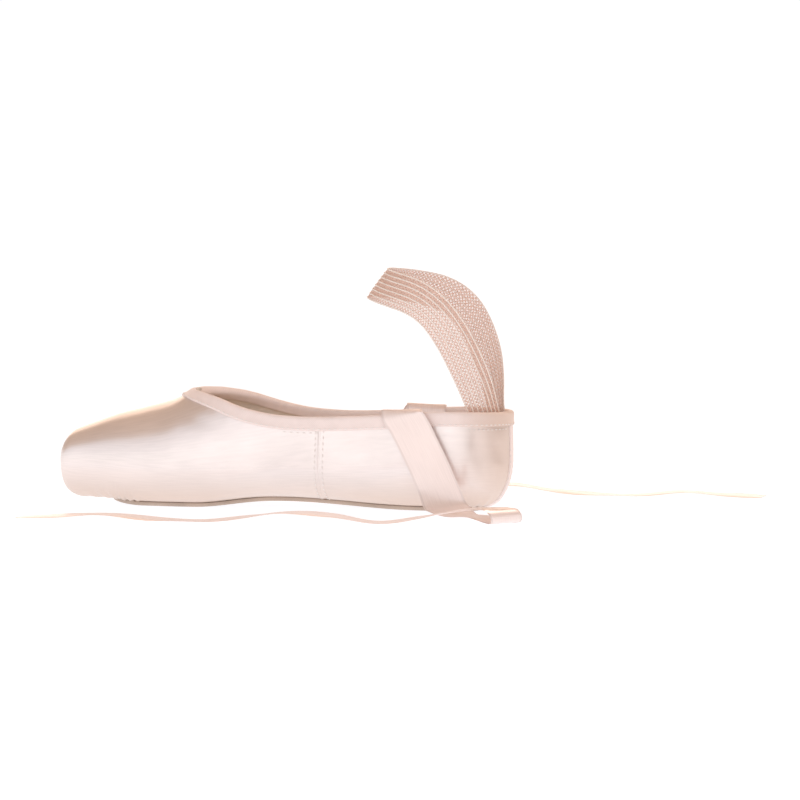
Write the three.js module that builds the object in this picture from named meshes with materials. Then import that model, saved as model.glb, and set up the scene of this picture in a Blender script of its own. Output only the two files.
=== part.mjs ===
// Pointe shoe, empty, standing on its sole.
//
// Frame: +X to the toe, +Y to the shoe's left, +Z up, millimetres. The origin is on the floor, under the
// middle of the shoe. A distance s runs back from the flat end of the toe, so that x = TOE_X - s.
//
// Every curved piece comes from one form, the last: cross sections at distances s, which turn about an
// upright axis round the heel. Half a section runs from the middle of the bottom (v = 0) along the flat to
// the feather line (v = 1), up a quarter ellipse to the widest height (v = 2) and over a quarter
// superellipse to the top (v = 3). A grown or shrunk last gives the inside of the wall.

import * as THREE from "three";
import { mergeVertices } from "three/addons/utils/BufferGeometryUtils.js";

// ---------------------------------------------------------------------------------- driving dimensions

const LENGTH = 252;
const TOE_X = LENGTH / 2;
const HEEL_AXIS = 222; // the upright axis round which the heel turns
const HEEL_RADIUS = LENGTH - HEEL_AXIS;
const GAP = 0.3; // between pieces that touch

// The last. half: half width; feather: half width of the flat bottom; bottom, widest and top: heights;
// crown: the superellipse's exponent; wall: thickness of the upper's wall. Behind the throat the top is
// the virtual one, over the opening.
const LAST = [
  { s: 0, half: 25.5, feather: 14.0, bottom: 4.1, widest: 24.0, top: 39.5, crown: 2.4, wall: 3.5 },
  { s: 12, half: 28.0, feather: 17.5, bottom: 4.1, widest: 24.0, top: 43.8, crown: 2.4, wall: 3.5 },
  { s: 28, half: 31.8, feather: 21.5, bottom: 4.0, widest: 23.5, top: 49.4, crown: 2.35, wall: 3.2 },
  { s: 46, half: 36.0, feather: 25.0, bottom: 2.6, widest: 22.5, top: 54.0, crown: 2.3, wall: 3.0 },
  { s: 62, half: 39.2, feather: 27.0, bottom: 2.5, widest: 22.0, top: 58.6, crown: 2.3, wall: 2.8 },
  { s: 72, half: 40.7, feather: 27.5, bottom: 2.5, widest: 22.0, top: 63.4, crown: 2.3, wall: 2.6 },
  { s: 90, half: 41.6, feather: 26.5, bottom: 2.5, widest: 22.0, top: 71.0, crown: 2.35, wall: 2.2 },
  { s: 110, half: 41.0, feather: 22.5, bottom: 2.5, widest: 22.5, top: 77.0, crown: 2.45, wall: 1.8 },
  { s: 130, half: 38.2, feather: 17.0, bottom: 2.5, widest: 23.5, top: 81.0, crown: 2.6, wall: 1.5 },
  { s: 150, half: 34.4, feather: 14.5, bottom: 2.5, widest: 24.5, top: 84.0, crown: 2.8, wall: 1.5 },
  { s: 175, half: 31.0, feather: 14.5, bottom: 2.5, widest: 25.5, top: 86.0, crown: 3.0, wall: 1.5 },
  { s: 200, half: 29.2, feather: 18.0, bottom: 2.5, widest: 27.0, top: 88.0, crown: 3.0, wall: 1.5 },
  { s: HEEL_AXIS, half: 28.5, feather: 19.5, bottom: 2.5, widest: 27.8, top: 90.0, crown: 3.0, wall: 1.5 },
];
const HEEL_FEATHER = 14.5; // feather at the very back, where the heel rounds under
const FLOOR_WALL = 1.5; // thickness of the turned-in edge under the foot

// How the flat end of the toe is rounded: over this length the section comes in by this depth.
const TOE_EDGE = {
  side: { length: 7, depth: 4 },
  top: { length: 6, depth: 5 },
  bottom: { length: 12, depth: 8.5 },
};

// The arch: the bottom is lifted by up to this height, from the tread over the peak to the heel seat.
const ARCH = { tread: 78, peak: 122, seat: 200, height: 3.6 };

// Height of the upper's edge, seen from the side, from the throat to the back of the heel.
const COLLAR = [
  { s: 66, z: 63.3 },
  { s: 76, z: 63.1 },
  { s: 86, z: 61.6 },
  { s: 96, z: 59.2 },
  { s: 105, z: 56.2 },
  { s: 114, z: 53.7 },
  { s: 124, z: 51.7 },
  { s: 134, z: 50.6 },
  { s: 149, z: 50.0 },
  { s: 165, z: 50.3 },
  { s: 190, z: 51.5 },
  { s: 207, z: 52.9 },
  { s: 225, z: 53.4 },
  { s: LENGTH, z: 52.8 },
];

const SOLE_OPENING = { start: 34, nose: 16, inset: 7 };
const OUTSOLE = { start: 24.5, nose: 20, inset: 0.5, noseLift: 2.4, noseLength: 23 };
const INSOLE = { start: 14, nose: 14, thickness: 1.5, clearSide: 1.6, clearUnder: 0.8 };
const BINDING = { outside: 6.5, inside: 4.5, tape: 0.6, clear: 0.35, clearInside: 0.9, rise: 1.0 };
const ELASTIC = { width: 20, thickness: 1.0 };
const RIBBON = { width: 22, thickness: 0.6 };

// Half of the heel elastic's middle line, from its sewn end inside the heel to the front of the ankle.
// face: the way its outer face looks; cup: how far its middle stands out from its edges.
const ELASTIC_HALF = [
  { at: [-117.1, 12.9, 38], face: [-0.78, 0.62, 0.0], cup: 1.8 },
  { at: [-116.4, 13.2, 46], face: [-0.78, 0.62, 0.0], cup: 1.8 },
  { at: [-114.9, 14.6, 55], face: [-0.74, 0.67, 0.05], cup: 1.8 },
  { at: [-112.0, 19.0, 66.5], face: [-0.58, 0.81, 0.08], cup: 1.4 },
  { at: [-107.0, 25.0, 81], face: [-0.36, 0.93, 0.1], cup: 1.0 },
  { at: [-100.5, 29.2, 95], face: [-0.18, 0.97, 0.13], cup: 0.8 },
  { at: [-93.0, 31.5, 106.2], face: [0.02, 0.98, 0.2], cup: 0.6 },
  { at: [-85.5, 31.8, 113], face: [0.17, 0.95, 0.27], cup: 0.5 },
  { at: [-77.3, 30.3, 117.2], face: [0.34, 0.88, 0.33], cup: 0.4 },
  { at: [-69.0, 26.8, 119.6], face: [0.48, 0.78, 0.4], cup: 0.4 },
  { at: [-60.0, 20.0, 121.6], face: [0.64, 0.58, 0.5], cup: 0.3 },
  { at: [-53.4, 10.6, 122.9], face: [0.76, 0.3, 0.57], cup: 0.3 },
  { at: [-51.2, 3.2, 123.3], face: [0.8, 0.08, 0.59], cup: 0.3 },
];

// The ribbons' middle lines, chosen by hand, from the sewn end inside the quarter to the cut end. Each
// goes up inside, folds over the binding, hangs to the floor, folds over once and lies in low waves.
// face: the way the shown face looks; lean: how far the band's cross line runs forward, 0 where it is square.
const RIBBON_LEFT = [
  { at: [-71, 26.2, 31], face: [0, -1, 0] },
  { at: [-71, 25.1, 42], face: [0, -1, 0] },
  { at: [-71, 24.4, 51], face: [0, -1, 0] },
  { at: [-71.3, 25.8, 54.4], face: [0, -0.6, 0.8], lean: -0.08 },
  { at: [-71.9, 28.5, 55.5], face: [0, 0.25, 0.97], lean: -0.18 },
  { at: [-73.2, 31.7, 53], face: [0, 1, 0.25], lean: -0.4 },
  { at: [-78.6, 32.2, 44], face: [0, 1, 0], lean: -0.57 },
  { at: [-87, 32.6, 28], face: [0, 1, 0.04], lean: -0.57 },
  { at: [-94.5, 34.4, 13], face: [0, 0.97, 0.24], lean: -0.57 },
  { at: [-99.5, 38.4, 4.6], face: [-0.1, 0.76, 0.64], lean: -0.57 },
  { at: [-106, 46.5, 1.3], face: [0, 0.1, 0.99], lean: -0.57 },
  { at: [-118, 63, 1.2], face: [0, 0, 1], lean: -0.2 },
  { at: [-134, 84.5, 2.4], face: [0, 0, 1], lean: 0.2 },
  { at: [-150, 105, 1.5], face: [0, 0, 1], lean: 0.58 },
  { at: [-151.8, 107.8, 2.5], face: [0.64, -0.3, 0.71], lean: 0.58 },
  { at: [-152.1, 110, 5.3], face: [0.91, -0.42, 0], lean: 0.58 },
  { at: [-150.3, 111.1, 8.1], face: [0.64, -0.3, -0.71], lean: 0.58 },
  { at: [-146.9, 111.6, 9.3], face: [0, 0, -1], lean: 0.58 },
  { at: [-130, 113.2, 8.5], face: [0, 0, -1], lean: 0.3 },
  { at: [-108, 115.3, 4.2], face: [0, 0, -1] },
  { at: [-84, 117.6, 1.3], face: [0, 0, -1] },
  { at: [-60, 119.6, 4.4], face: [0, 0, -1] },
  { at: [-37, 121.5, 5.8], face: [0, 0, -1] },
  { at: [-14, 123.5, 3.0], face: [0, 0, -1] },
  { at: [8, 125.3, 0.9], face: [0, 0, -1] },
  { at: [34, 127, 1.0], face: [0, 0, -1] },
  { at: [60, 128.4, 3.2], face: [0, 0, -1] },
  { at: [84, 129.4, 2.2], face: [0, 0, -1] },
  { at: [110, 130.4, 0.9], face: [0, 0, -1] },
];
const RIBBON_RIGHT = [
  { at: [-71, -26.2, 31], face: [0, 1, 0] },
  { at: [-71, -25.1, 42], face: [0, 1, 0] },
  { at: [-71, -24.4, 51], face: [0, 1, 0] },
  { at: [-70.7, -25.8, 54.4], face: [0, 0.6, 0.8], lean: -0.08 },
  { at: [-70.1, -28.5, 55.5], face: [0, -0.25, 0.97], lean: -0.18 },
  { at: [-68.8, -31.8, 53], face: [0, -1, 0.25], lean: -0.4 },
  { at: [-63.4, -33.4, 44], face: [0, -1, 0], lean: -0.57 },
  { at: [-55, -35.2, 28], face: [0, -1, 0.04], lean: -0.57 },
  { at: [-47.5, -37.2, 13], face: [0, -0.97, 0.24], lean: -0.57 },
  { at: [-42.5, -41.2, 4.6], face: [0.1, -0.76, 0.64], lean: -0.57 },
  { at: [-36, -49.3, 1.4], face: [0, -0.1, 0.99], lean: -0.57 },
  { at: [-22, -65, 1.2], face: [0, 0, 1], lean: -0.2 },
  { at: [-2, -84.5, 2.2], face: [0, 0, 1], lean: 0.2 },
  { at: [18, -102, 1.4], face: [0, 0, 1], lean: 0.45 },
  { at: [20.1, -104.3, 2.4], face: [-0.66, 0.25, 0.71], lean: 0.45 },
  { at: [20.7, -106.1, 5.2], face: [-0.93, 0.36, 0], lean: 0.45 },
  { at: [19.1, -106.9, 8.0], face: [-0.66, 0.25, -0.71], lean: 0.45 },
  { at: [16, -107.2, 9.2], face: [0, 0, -1], lean: 0.45 },
  { at: [-2, -108.1, 8.3], face: [0, 0, -1], lean: 0.2 },
  { at: [-24, -109.3, 4.2], face: [0, 0, -1] },
  { at: [-48, -110.5, 1.2], face: [0, 0, -1] },
  { at: [-73, -111.8, 4.2], face: [0, 0, -1] },
  { at: [-96, -113, 5.6], face: [0, 0, -1] },
  { at: [-120, -114.3, 2.8], face: [0, 0, -1] },
  { at: [-144, -115.5, 0.9], face: [0, 0, -1] },
  { at: [-170, -116.8, 1.0], face: [0, 0, -1] },
  { at: [-194, -118, 3.0], face: [0, 0, -1] },
  { at: [-218, -119, 2.0], face: [0, 0, -1] },
  { at: [-240, -120, 0.9], face: [0, 0, -1] },
];

// ------------------------------------------------------------------------------------------- the last

// One column of a table at s: a smooth cubic through the rows, held level beyond its ends.
function along(table, column, s) {
  const end = table.length - 1;
  const at = Math.min(Math.max(s, table[0].s), table[end].s);
  let i = 0;
  while (i < end - 1 && at > table[i + 1].s) i++;
  const slope = (k) => {
    const [before, after] = [table[Math.max(k - 1, 0)], table[Math.min(k + 1, end)]];
    return (after[column] - before[column]) / (after.s - before.s);
  };
  const [a, b] = [table[i], table[i + 1]];
  const span = b.s - a.s;
  const t = (at - a.s) / span;
  return (
    a[column] * (1 + 2 * t) * (1 - t) ** 2 +
    b[column] * t * t * (3 - 2 * t) +
    slope(i) * span * t * (1 - t) ** 2 -
    slope(i + 1) * span * t * t * (1 - t)
  );
}

// Lift of the bottom at s: two half cosines that meet at the peak of the arch.
function arch(s) {
  if (s <= ARCH.tread || s >= ARCH.seat) return 0;
  const foot = s < ARCH.peak ? ARCH.tread : ARCH.seat;
  return (ARCH.height / 2) * (1 - Math.cos((Math.PI * (s - foot)) / (ARCH.peak - foot)));
}

// How far the section has come in at s, on the rounded edge of the toe: a quarter ellipse.
function toeRounding(edge, s) {
  const left = Math.max(0, 1 - s / edge.length);
  return edge.depth * (1 - Math.sqrt(1 - left * left));
}

// The cross section at s, or round the heel at the angle swing, of the last grown outwards by grow.
function section(s, swing, grow) {
  const row = (column) => along(LAST, column, s);
  const under = Math.max(grow, -FLOOR_WALL);
  return {
    half: row("half") - toeRounding(TOE_EDGE.side, s) + grow,
    feather: row("feather") + (HEEL_FEATHER - row("feather")) * Math.sin(swing) ** 2,
    bottom: row("bottom") + arch(s) + toeRounding(TOE_EDGE.bottom, s) - under,
    widest: row("widest"),
    top: row("top") - toeRounding(TOE_EDGE.top, s) + grow,
    crown: row("crown"),
  };
}

// The point { y, z } of a half section at v.
function onSection(c, v) {
  if (v <= 1) return { y: c.feather * v, z: c.bottom };
  const turn = ((v <= 2 ? v - 1 : v - 2) * Math.PI) / 2;
  if (v <= 2)
    return {
      y: c.feather + (c.half - c.feather) * Math.sin(turn),
      z: c.widest - (c.widest - c.bottom) * Math.cos(turn),
    };
  return {
    y: c.half * Math.max(Math.cos(turn), 0) ** (2 / c.crown),
    z: c.widest + (c.top - c.widest) * Math.sin(turn) ** (2 / c.crown),
  };
}

// A section's point in space: in the plane of s before the heel, turned about the heel's axis behind it.
function place(s, swing, grow, { y, z }) {
  const forward = grow * Math.max(0, 1 - s / SOLE_OPENING.start); // the toe's end moves with its wall
  const stretch = (HEEL_RADIUS + grow) / (LAST.at(-1).half + grow);
  return new THREE.Vector3(TOE_X - s + forward - y * stretch * Math.sin(swing), y * Math.cos(swing), z);
}

// v of a section where its upper quarter reaches the height z.
function vAtHeight(c, z) {
  const share = Math.min((z - c.widest) / (c.top - c.widest), 1);
  return 2 + (2 / Math.PI) * Math.asin(share ** (c.crown / 2));
}

// The throat: where the top of the last meets the collar line.
const THROAT = (() => {
  let [low, high] = [COLLAR[0].s, COLLAR[3].s];
  while (high - low > 1e-4) {
    const middle = (low + high) / 2;
    if (along(LAST, "top", middle) < along(COLLAR, "z", middle)) low = middle;
    else high = middle;
  }
  return (low + high) / 2;
})();

// v of the upper's edge at a station: the top of the section before the throat, the collar behind it.
function collarV({ s, swing }) {
  if (s <= THROAT) return 3;
  const c = section(s, swing, 0);
  let v = vAtHeight(c, along(COLLAR, "z", s));
  for (let round = 0; swing > 0 && round < 3; round++) {
    const { x } = place(s, swing, 0, onSection(c, v));
    v = vAtHeight(c, along(COLLAR, "z", TOE_X - x));
  }
  return v;
}

// Half width of a plan outline that starts at start with a half ellipse of length nose.
function nosed({ start, nose }, s, half) {
  const left = Math.min(Math.max(1 - (s - start) / nose, 0), 1);
  return half * Math.sqrt(1 - left * left);
}

// v of the edge of the opening that the sole closes.
function openingV({ s, swing }) {
  if (s <= SOLE_OPENING.start) return 0;
  const { feather } = section(s, swing, 0);
  return nosed(SOLE_OPENING, s, feather - SOLE_OPENING.inset) / feather;
}

// ------------------------------------------------------------------------------------------- stations

const range = (n, f) => Array.from({ length: n }, (_, i) => f(i));

// Stations from a to b, closer together towards a.
const easing = (a, b, n) => range(n, (i) => ({ s: a + (b - a) * (i / n) ** 2, swing: 0 }));
const evenly = (a, b, n) => range(n, (i) => ({ s: a + ((b - a) * i) / n, swing: 0 }));
const heelTurn = (n) => range(n + 1, (i) => ({ s: HEEL_AXIS, swing: (Math.PI / 2) * (i / n) }));

const UPPER_STATIONS = [
  ...range(6, (i) => ({ s: TOE_EDGE.bottom.length * (1 - Math.cos((Math.PI * i) / 12)), swing: 0 })),
  ...evenly(TOE_EDGE.bottom.length, SOLE_OPENING.start, 3),
  ...easing(SOLE_OPENING.start, 58, 5),
  ...evenly(58, THROAT, 2),
  ...easing(THROAT, 110, 8),
  ...evenly(110, HEEL_AXIS, 13),
  ...heelTurn(9),
];
const COLLAR_STATIONS = [
  ...easing(THROAT, 110, 9),
  ...evenly(110, HEEL_AXIS, 12),
  ...heelTurn(9),
];
const planStations = ({ start, nose }) => [
  ...range(6, (i) => ({ s: start + nose * (1 - Math.cos((Math.PI * i) / 12)), swing: 0 })),
  ...evenly(start + nose, HEEL_AXIS, 22),
  ...heelTurn(8),
];

// ------------------------------------------------------------------------------------- building solids

// A closed mesh from quads and triangles of points. Corners that coincide are merged, and what has no
// area is dropped.
function closedMesh(faces) {
  const corners = [];
  for (const [a, b, c, d] of faces) corners.push(a, b, c, ...(d ? [a, c, d] : []));
  const loose = new THREE.BufferGeometry().setFromPoints(corners);
  const merged = mergeVertices(loose, 1e-3);
  const kept = [];
  for (let i = 0; i < merged.index.count; i += 3) {
    const [a, b, c] = [0, 1, 2].map((k) => merged.index.getX(i + k));
    if (a !== b && b !== c && c !== a) kept.push(a, b, c);
  }
  const geometry = merged.setIndex(kept).toNonIndexed();
  geometry.computeVertexNormals();
  return geometry;
}

// The quads between neighbouring rows of points, facing rows x points.
function grid(rows, closed = false) {
  const faces = [];
  for (let i = 0; i + 1 < rows.length; i++) {
    const count = rows[i].length;
    for (let j = 0; j + 1 < count + (closed ? 1 : 0); j++) {
      const k = (j + 1) % count;
      faces.push([rows[i][j], rows[i + 1][j], rows[i + 1][k], rows[i][k]]);
    }
  }
  return faces;
}

const reversed = (faces) => faces.map((face) => [...face].reverse());
const mirrored = (faces) =>
  reversed(faces.map((face) => face.map((p) => new THREE.Vector3(p.x, -p.y, p.z))));

// One side's faces and the other side's. What lies in the plane between them would be shut in, so it goes.
function bothSides(faces) {
  const kept = faces.filter((face) => face.some((p) => Math.abs(p.y) > 1e-6));
  return [...kept, ...mirrored(kept)];
}

// A skin of the last between the sole opening and the collar: rows of points, a row for each station.
function skin(stations, wall, steps) {
  return stations.map((station) => {
    const grow = -wall(station.s);
    const [from, to] = [openingV(station), collarV(station)];
    const c = section(station.s, station.swing, grow);
    return range(steps + 1, (j) =>
      place(station.s, station.swing, grow, onSection(c, from + ((to - from) * j) / steps)),
    );
  });
}

// The flat end of the toe: the first row joined to its middle.
function endFace(row) {
  const middle = new THREE.Vector3(row[0].x, 0, (row[0].z + row.at(-1).z) / 2);
  return row.slice(1).map((point, j) => [middle, row[j], point]);
}

// The upper: an outer and an inner skin, closed along the collar and along the sole opening.
function upperGeometry() {
  const steps = 14;
  const outside = skin(UPPER_STATIONS, () => 0, steps);
  const inside = skin(UPPER_STATIONS, (s) => along(LAST, "wall", s), steps);
  const strip = (column) => grid(outside.map((row, i) => [row[column], inside[i][column]]));
  return closedMesh(
    bothSides([
      ...grid(outside),
      ...reversed(grid(inside)),
      ...strip(steps),
      ...reversed(strip(0)),
      ...endFace(outside[0]),
      ...reversed(endFace(inside[0])),
    ]),
  );
}

// A flat piece under or in the shoe: half its outline and its two heights at each station.
function plateGeometry(stations, outline) {
  const rows = stations.map((station) => {
    const { grow, low, high } = outline(station);
    const lift = (y, z) => place(station.s, station.swing, grow, { y, z });
    return [lift(0, low.z), lift(low.y, low.z), lift(high.y, high.z), lift(0, high.z)];
  });
  return closedMesh(bothSides(grid(rows)));
}

// The leather outsole: as wide as the flat bottom less a small inset, bent up a little at its nose.
function outsoleGeometry() {
  return plateGeometry(planStations(OUTSOLE), ({ s, swing }) => {
    const c = section(s, swing, 0);
    const y = nosed(OUTSOLE, s, c.feather - OUTSOLE.inset);
    const bend = Math.max(0, 1 - (s - OUTSOLE.start) / OUTSOLE.noseLength);
    const low = OUTSOLE.noseLift * bend ** 1.5 + arch(s);
    return { grow: 0, low: { y, z: low }, high: { y, z: c.bottom - GAP } };
  });
}

// The insole lies on the turned-in edge of the upper and reaches out to the wall.
function insoleGeometry() {
  return plateGeometry(planStations(INSOLE), ({ s, swing }) => {
    const grow = -along(LAST, "wall", s);
    const c = section(s, swing, grow);
    const reach = (z) => {
      const drop = (c.widest - z) / (c.widest - c.bottom);
      const wall = c.feather + (c.half - c.feather) * Math.sqrt(1 - drop * drop);
      return { y: nosed(INSOLE, s, wall - INSOLE.clearSide), z };
    };
    const low = c.bottom + INSOLE.clearUnder;
    return { grow, low: reach(low), high: reach(low + INSOLE.thickness) };
  });
}

// How far a point is from the upper part of the last: 0 on it, below 0 inside.
function outsideLast(p) {
  const back = Math.max(0, TOE_X - HEEL_AXIS - p.x);
  const stretch = HEEL_RADIUS / LAST.at(-1).half;
  const c = section(Math.min(TOE_X - p.x, HEEL_AXIS), 0, 0);
  const out = Math.hypot(p.y, back / stretch) / c.half;
  const up = (p.z - c.widest) / (c.top - c.widest);
  return out ** c.crown + up ** c.crown - 1;
}

// The way out of the last at a point, from three central differences, and its steepness.
function slopeOut(p) {
  const step = 0.05;
  const rise = (axis) => {
    const [fore, aft] = [p.clone(), p.clone()];
    fore[axis] += step;
    aft[axis] -= step;
    return (outsideLast(fore) - outsideLast(aft)) / (2 * step);
  };
  return new THREE.Vector3(rise("x"), rise("y"), rise("z"));
}

// The nearest point of the last, found by stepping down the slope.
function ontoLast(p) {
  const q = p.clone();
  for (let round = 0; round < 6; round++) {
    const out = slopeOut(q);
    q.addScaledVector(out, -outsideLast(q) / out.lengthSq());
  }
  return q;
}

// The binding: a folded tape over the upper's edge. Each corner of its section is a distance down the
// last from the edge and a distance out from it.
function bindingGeometry() {
  const { outside, inside, tape, clear, clearInside, rise } = BINDING;
  const edge = COLLAR_STATIONS.map((station) =>
    place(station.s, station.swing, 0, onSection(section(station.s, station.swing, 0), collarV(station))),
  );
  const rows = edge.map((point, i) => {
    const flat = (p) => new THREE.Vector3(p.x, -p.y, p.z);
    const before = i > 0 ? edge[i - 1] : flat(edge[1]);
    const after = i + 1 < edge.length ? edge[i + 1] : flat(edge[i - 1]);
    const run = after.clone().sub(before).normalize();
    const down = run.clone().cross(slopeOut(point)).normalize();
    const wall = along(LAST, "wall", Math.min(TOE_X - point.x, HEEL_AXIS));
    const corner = (far, out) => {
      const base = ontoLast(point.clone().addScaledVector(down, far));
      return base.addScaledVector(slopeOut(base).normalize(), out);
    };
    return [
      corner(outside, clear),
      corner(outside, clear + tape),
      corner(outside / 2, clear + tape),
      corner(0, clear + tape),
      corner(-rise, 0),
      corner(-rise, -wall - clearInside / 2),
      corner(0, -wall - clearInside - tape),
      corner(inside, -wall - clearInside - tape),
      corner(inside, -wall - clearInside),
      corner(0, -wall - clearInside),
      corner(tape - rise, -wall - clearInside / 2),
      corner(tape - rise, 0),
      corner(0, clear),
      corner(outside / 2, clear),
    ];
  });
  return closedMesh(bothSides(grid(rows, true)));
}

// A flat band along a route of rows { at, face, cup, lean }, with its ends closed.
function bandGeometry(route, { width, thickness }, parts, stepsPerRow) {
  const vector = (numbers) => new THREE.Vector3(...numbers);
  const middle = new THREE.CatmullRomCurve3(route.map((row) => vector(row.at)));
  const steps = (route.length - 1) * stepsPerRow;
  const rows = range(steps + 1, (i) => {
    const [here, there] = [Math.floor(i / stepsPerRow), Math.ceil(i / stepsPerRow)];
    const share = i / stepsPerRow - here;
    const run = middle.getTangent(i / steps);
    const face = vector(route[here].face).lerp(vector(route[there].face), share);
    const side = run.clone().cross(face).normalize();
    const out = side.clone().cross(run).normalize();
    const between = (name) => THREE.MathUtils.lerp(route[here][name] ?? 0, route[there][name] ?? 0, share);
    const across = side.clone().addScaledVector(run, between("lean"));
    const corner = (j, level) => {
      const aside = (2 * j) / parts - 1;
      return middle
        .getPoint(i / steps)
        .addScaledVector(across, (aside * width) / 2)
        .addScaledVector(out, level * (thickness / 2) - between("cup") * aside * aside);
    };
    return [
      ...range(parts + 1, (j) => corner(j, 1)),
      ...range(parts + 1, (j) => corner(parts - j, -1)),
    ];
  });
  const cap = (row) => range(parts, (j) => [row[j], row[j + 1], row.at(-2 - j), row.at(-1 - j)]);
  return closedMesh([...reversed(grid(rows, true)), ...reversed(cap(rows[0])), ...cap(rows.at(-1))]);
}

// The heel elastic: one side's rows, then the other side's, mirrored, back down to the heel.
function elasticGeometry() {
  const other = ELASTIC_HALF.map(({ at, face, cup }) => ({
    at: [at[0], -at[1], at[2]],
    face: [face[0], -face[1], face[2]],
    cup,
  }));
  return bandGeometry([...ELASTIC_HALF, ...other.reverse()], ELASTIC, 4, 2);
}

// --------------------------------------------------------------------------------------------- pieces

const satin = () => new THREE.MeshStandardMaterial({ color: 0xecdcd6, roughness: 0.35, metalness: 0 });
const tape = () => new THREE.MeshStandardMaterial({ color: 0xeed6cf, roughness: 0.6, metalness: 0 });
const leather = () => new THREE.MeshStandardMaterial({ color: 0xd9bfa6, roughness: 0.8, metalness: 0 });
const lining = () => new THREE.MeshStandardMaterial({ color: 0xefe6dc, roughness: 0.9, metalness: 0 });
const mesh = () => new THREE.MeshStandardMaterial({ color: 0xe7cdbd, roughness: 0.7, metalness: 0 });

const shoe = new THREE.Group();
function add(name, geometry, material) {
  const piece = new THREE.Mesh(geometry, material);
  piece.name = name;
  shoe.add(piece);
}

add("upper", upperGeometry(), satin());
add("outsole", outsoleGeometry(), leather());
add("insole", insoleGeometry(), lining());
add("binding", bindingGeometry(), tape());
add("heel_elastic", elasticGeometry(), mesh());
add("ribbon_left", bandGeometry(RIBBON_LEFT, RIBBON, 1, 3), satin());
add("ribbon_right", bandGeometry(RIBBON_RIGHT, RIBBON, 1, 3), satin());

export default shoe;
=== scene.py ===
"""Pointe shoe, empty, standing on its sole, with its heel elastic and two loose ribbons.

Shapes are worked out in millimetres and turned to metres as they become meshes. +X runs to the toe, +Y to
the shoe's left and +Z up. A distance t runs back from the flat end of the toe and then round the heel.
"""

import math
from types import SimpleNamespace

import bmesh
import bpy
import numpy as np
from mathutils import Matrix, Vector


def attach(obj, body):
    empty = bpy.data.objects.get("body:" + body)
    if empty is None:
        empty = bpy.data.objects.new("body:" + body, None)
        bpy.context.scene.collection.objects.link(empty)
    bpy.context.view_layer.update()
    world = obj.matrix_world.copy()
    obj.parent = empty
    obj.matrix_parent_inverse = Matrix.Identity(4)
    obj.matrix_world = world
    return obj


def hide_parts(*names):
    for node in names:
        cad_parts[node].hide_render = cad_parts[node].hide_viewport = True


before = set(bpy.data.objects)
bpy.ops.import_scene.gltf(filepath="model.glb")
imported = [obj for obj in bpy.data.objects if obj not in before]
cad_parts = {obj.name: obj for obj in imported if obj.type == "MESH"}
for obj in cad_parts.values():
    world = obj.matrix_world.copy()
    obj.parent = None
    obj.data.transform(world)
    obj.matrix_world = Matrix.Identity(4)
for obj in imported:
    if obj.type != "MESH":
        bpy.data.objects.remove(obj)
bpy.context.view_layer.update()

bl_info = {
    "name": "Pointe Shoe",
    "version": (1, 0, 0),
    "blender": (4, 5, 0),
    "location": "3D View > Sidebar > Pointe Shoe",
    "description": "Builds a satin pointe shoe with its binding, elastic and ribbons",
    "category": "Add Mesh",
}

MM = 0.001
UV_NAME = "cloth"

# ------------------------------------------------------------------------------------------ the form

# The last's sections: distance, half width, half width of the flat bottom, heights of the bottom, of the
# widest place and of the top, the exponent of the superellipse above, and the thickness of the wall.
LAST = np.array([
    (0, 25.5, 14.0, 4.1, 24.0, 39.5, 2.40, 3.5),
    (12, 28.0, 17.5, 4.1, 24.0, 43.8, 2.40, 3.5),
    (28, 31.8, 21.5, 4.0, 23.5, 49.4, 2.35, 3.2),
    (46, 36.0, 25.0, 2.6, 22.5, 54.0, 2.30, 3.0),
    (62, 39.2, 27.0, 2.5, 22.0, 58.6, 2.30, 2.8),
    (72, 40.7, 27.5, 2.5, 22.0, 63.4, 2.30, 2.6),
    (90, 41.6, 26.5, 2.5, 22.0, 71.0, 2.35, 2.2),
    (110, 41.0, 22.5, 2.5, 22.5, 77.0, 2.45, 1.8),
    (130, 38.2, 17.0, 2.5, 23.5, 81.0, 2.60, 1.5),
    (150, 34.4, 14.5, 2.5, 24.5, 84.0, 2.80, 1.5),
    (175, 31.0, 14.5, 2.5, 25.5, 86.0, 3.00, 1.5),
    (200, 29.2, 18.0, 2.5, 27.0, 88.0, 3.00, 1.5),
    (222, 28.5, 19.5, 2.5, 27.8, 90.0, 3.00, 1.5),
], float)
# The upper's edge seen from the side: distance and height.
COLLAR = np.array([
    (66, 63.3),
    (76, 63.1),
    (86, 61.6),
    (96, 59.2),
    (105, 56.2),
    (114, 53.7),
    (124, 51.7),
    (134, 50.6),
    (149, 50.0),
    (165, 50.3),
    (190, 51.5),
    (207, 52.9),
    (225, 53.4),
    (252, 52.8),
], float)
TOE_X = 126.0
HEEL_AXIS = 222.0  # the upright axis round which the heel turns
HEEL_RADIUS = 30.0
HEEL_END = HEEL_AXIS + HEEL_RADIUS * math.pi / 2
HEEL_FEATHER = 14.5
FLOOR_WALL = 1.5
TOE_SIDE, TOE_TOP, TOE_BOTTOM = (7.0, 4.0), (6.0, 5.0), (12.0, 8.5)  # length and depth of the roundings
ARCH_TREAD, ARCH_PEAK, ARCH_SEAT, ARCH_HEIGHT = 78.0, 122.0, 200.0, 3.6
OPENING_START, OPENING_NOSE, OPENING_INSET = 34.0, 16.0, 7.0
EDGE_POINTS = 380  # of the line along the upper's edge, from which puckers are measured
LOOP_POINTS = 400  # of the line that the binding and the stitches below it follow
SATIN_THICKNESS, LINING_DEPTH = 0.45, 0.55  # the satin's back and the lining's front, under its face
QUARTER_GIRTH = 26.0  # cloth round a quarter of a section
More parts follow.
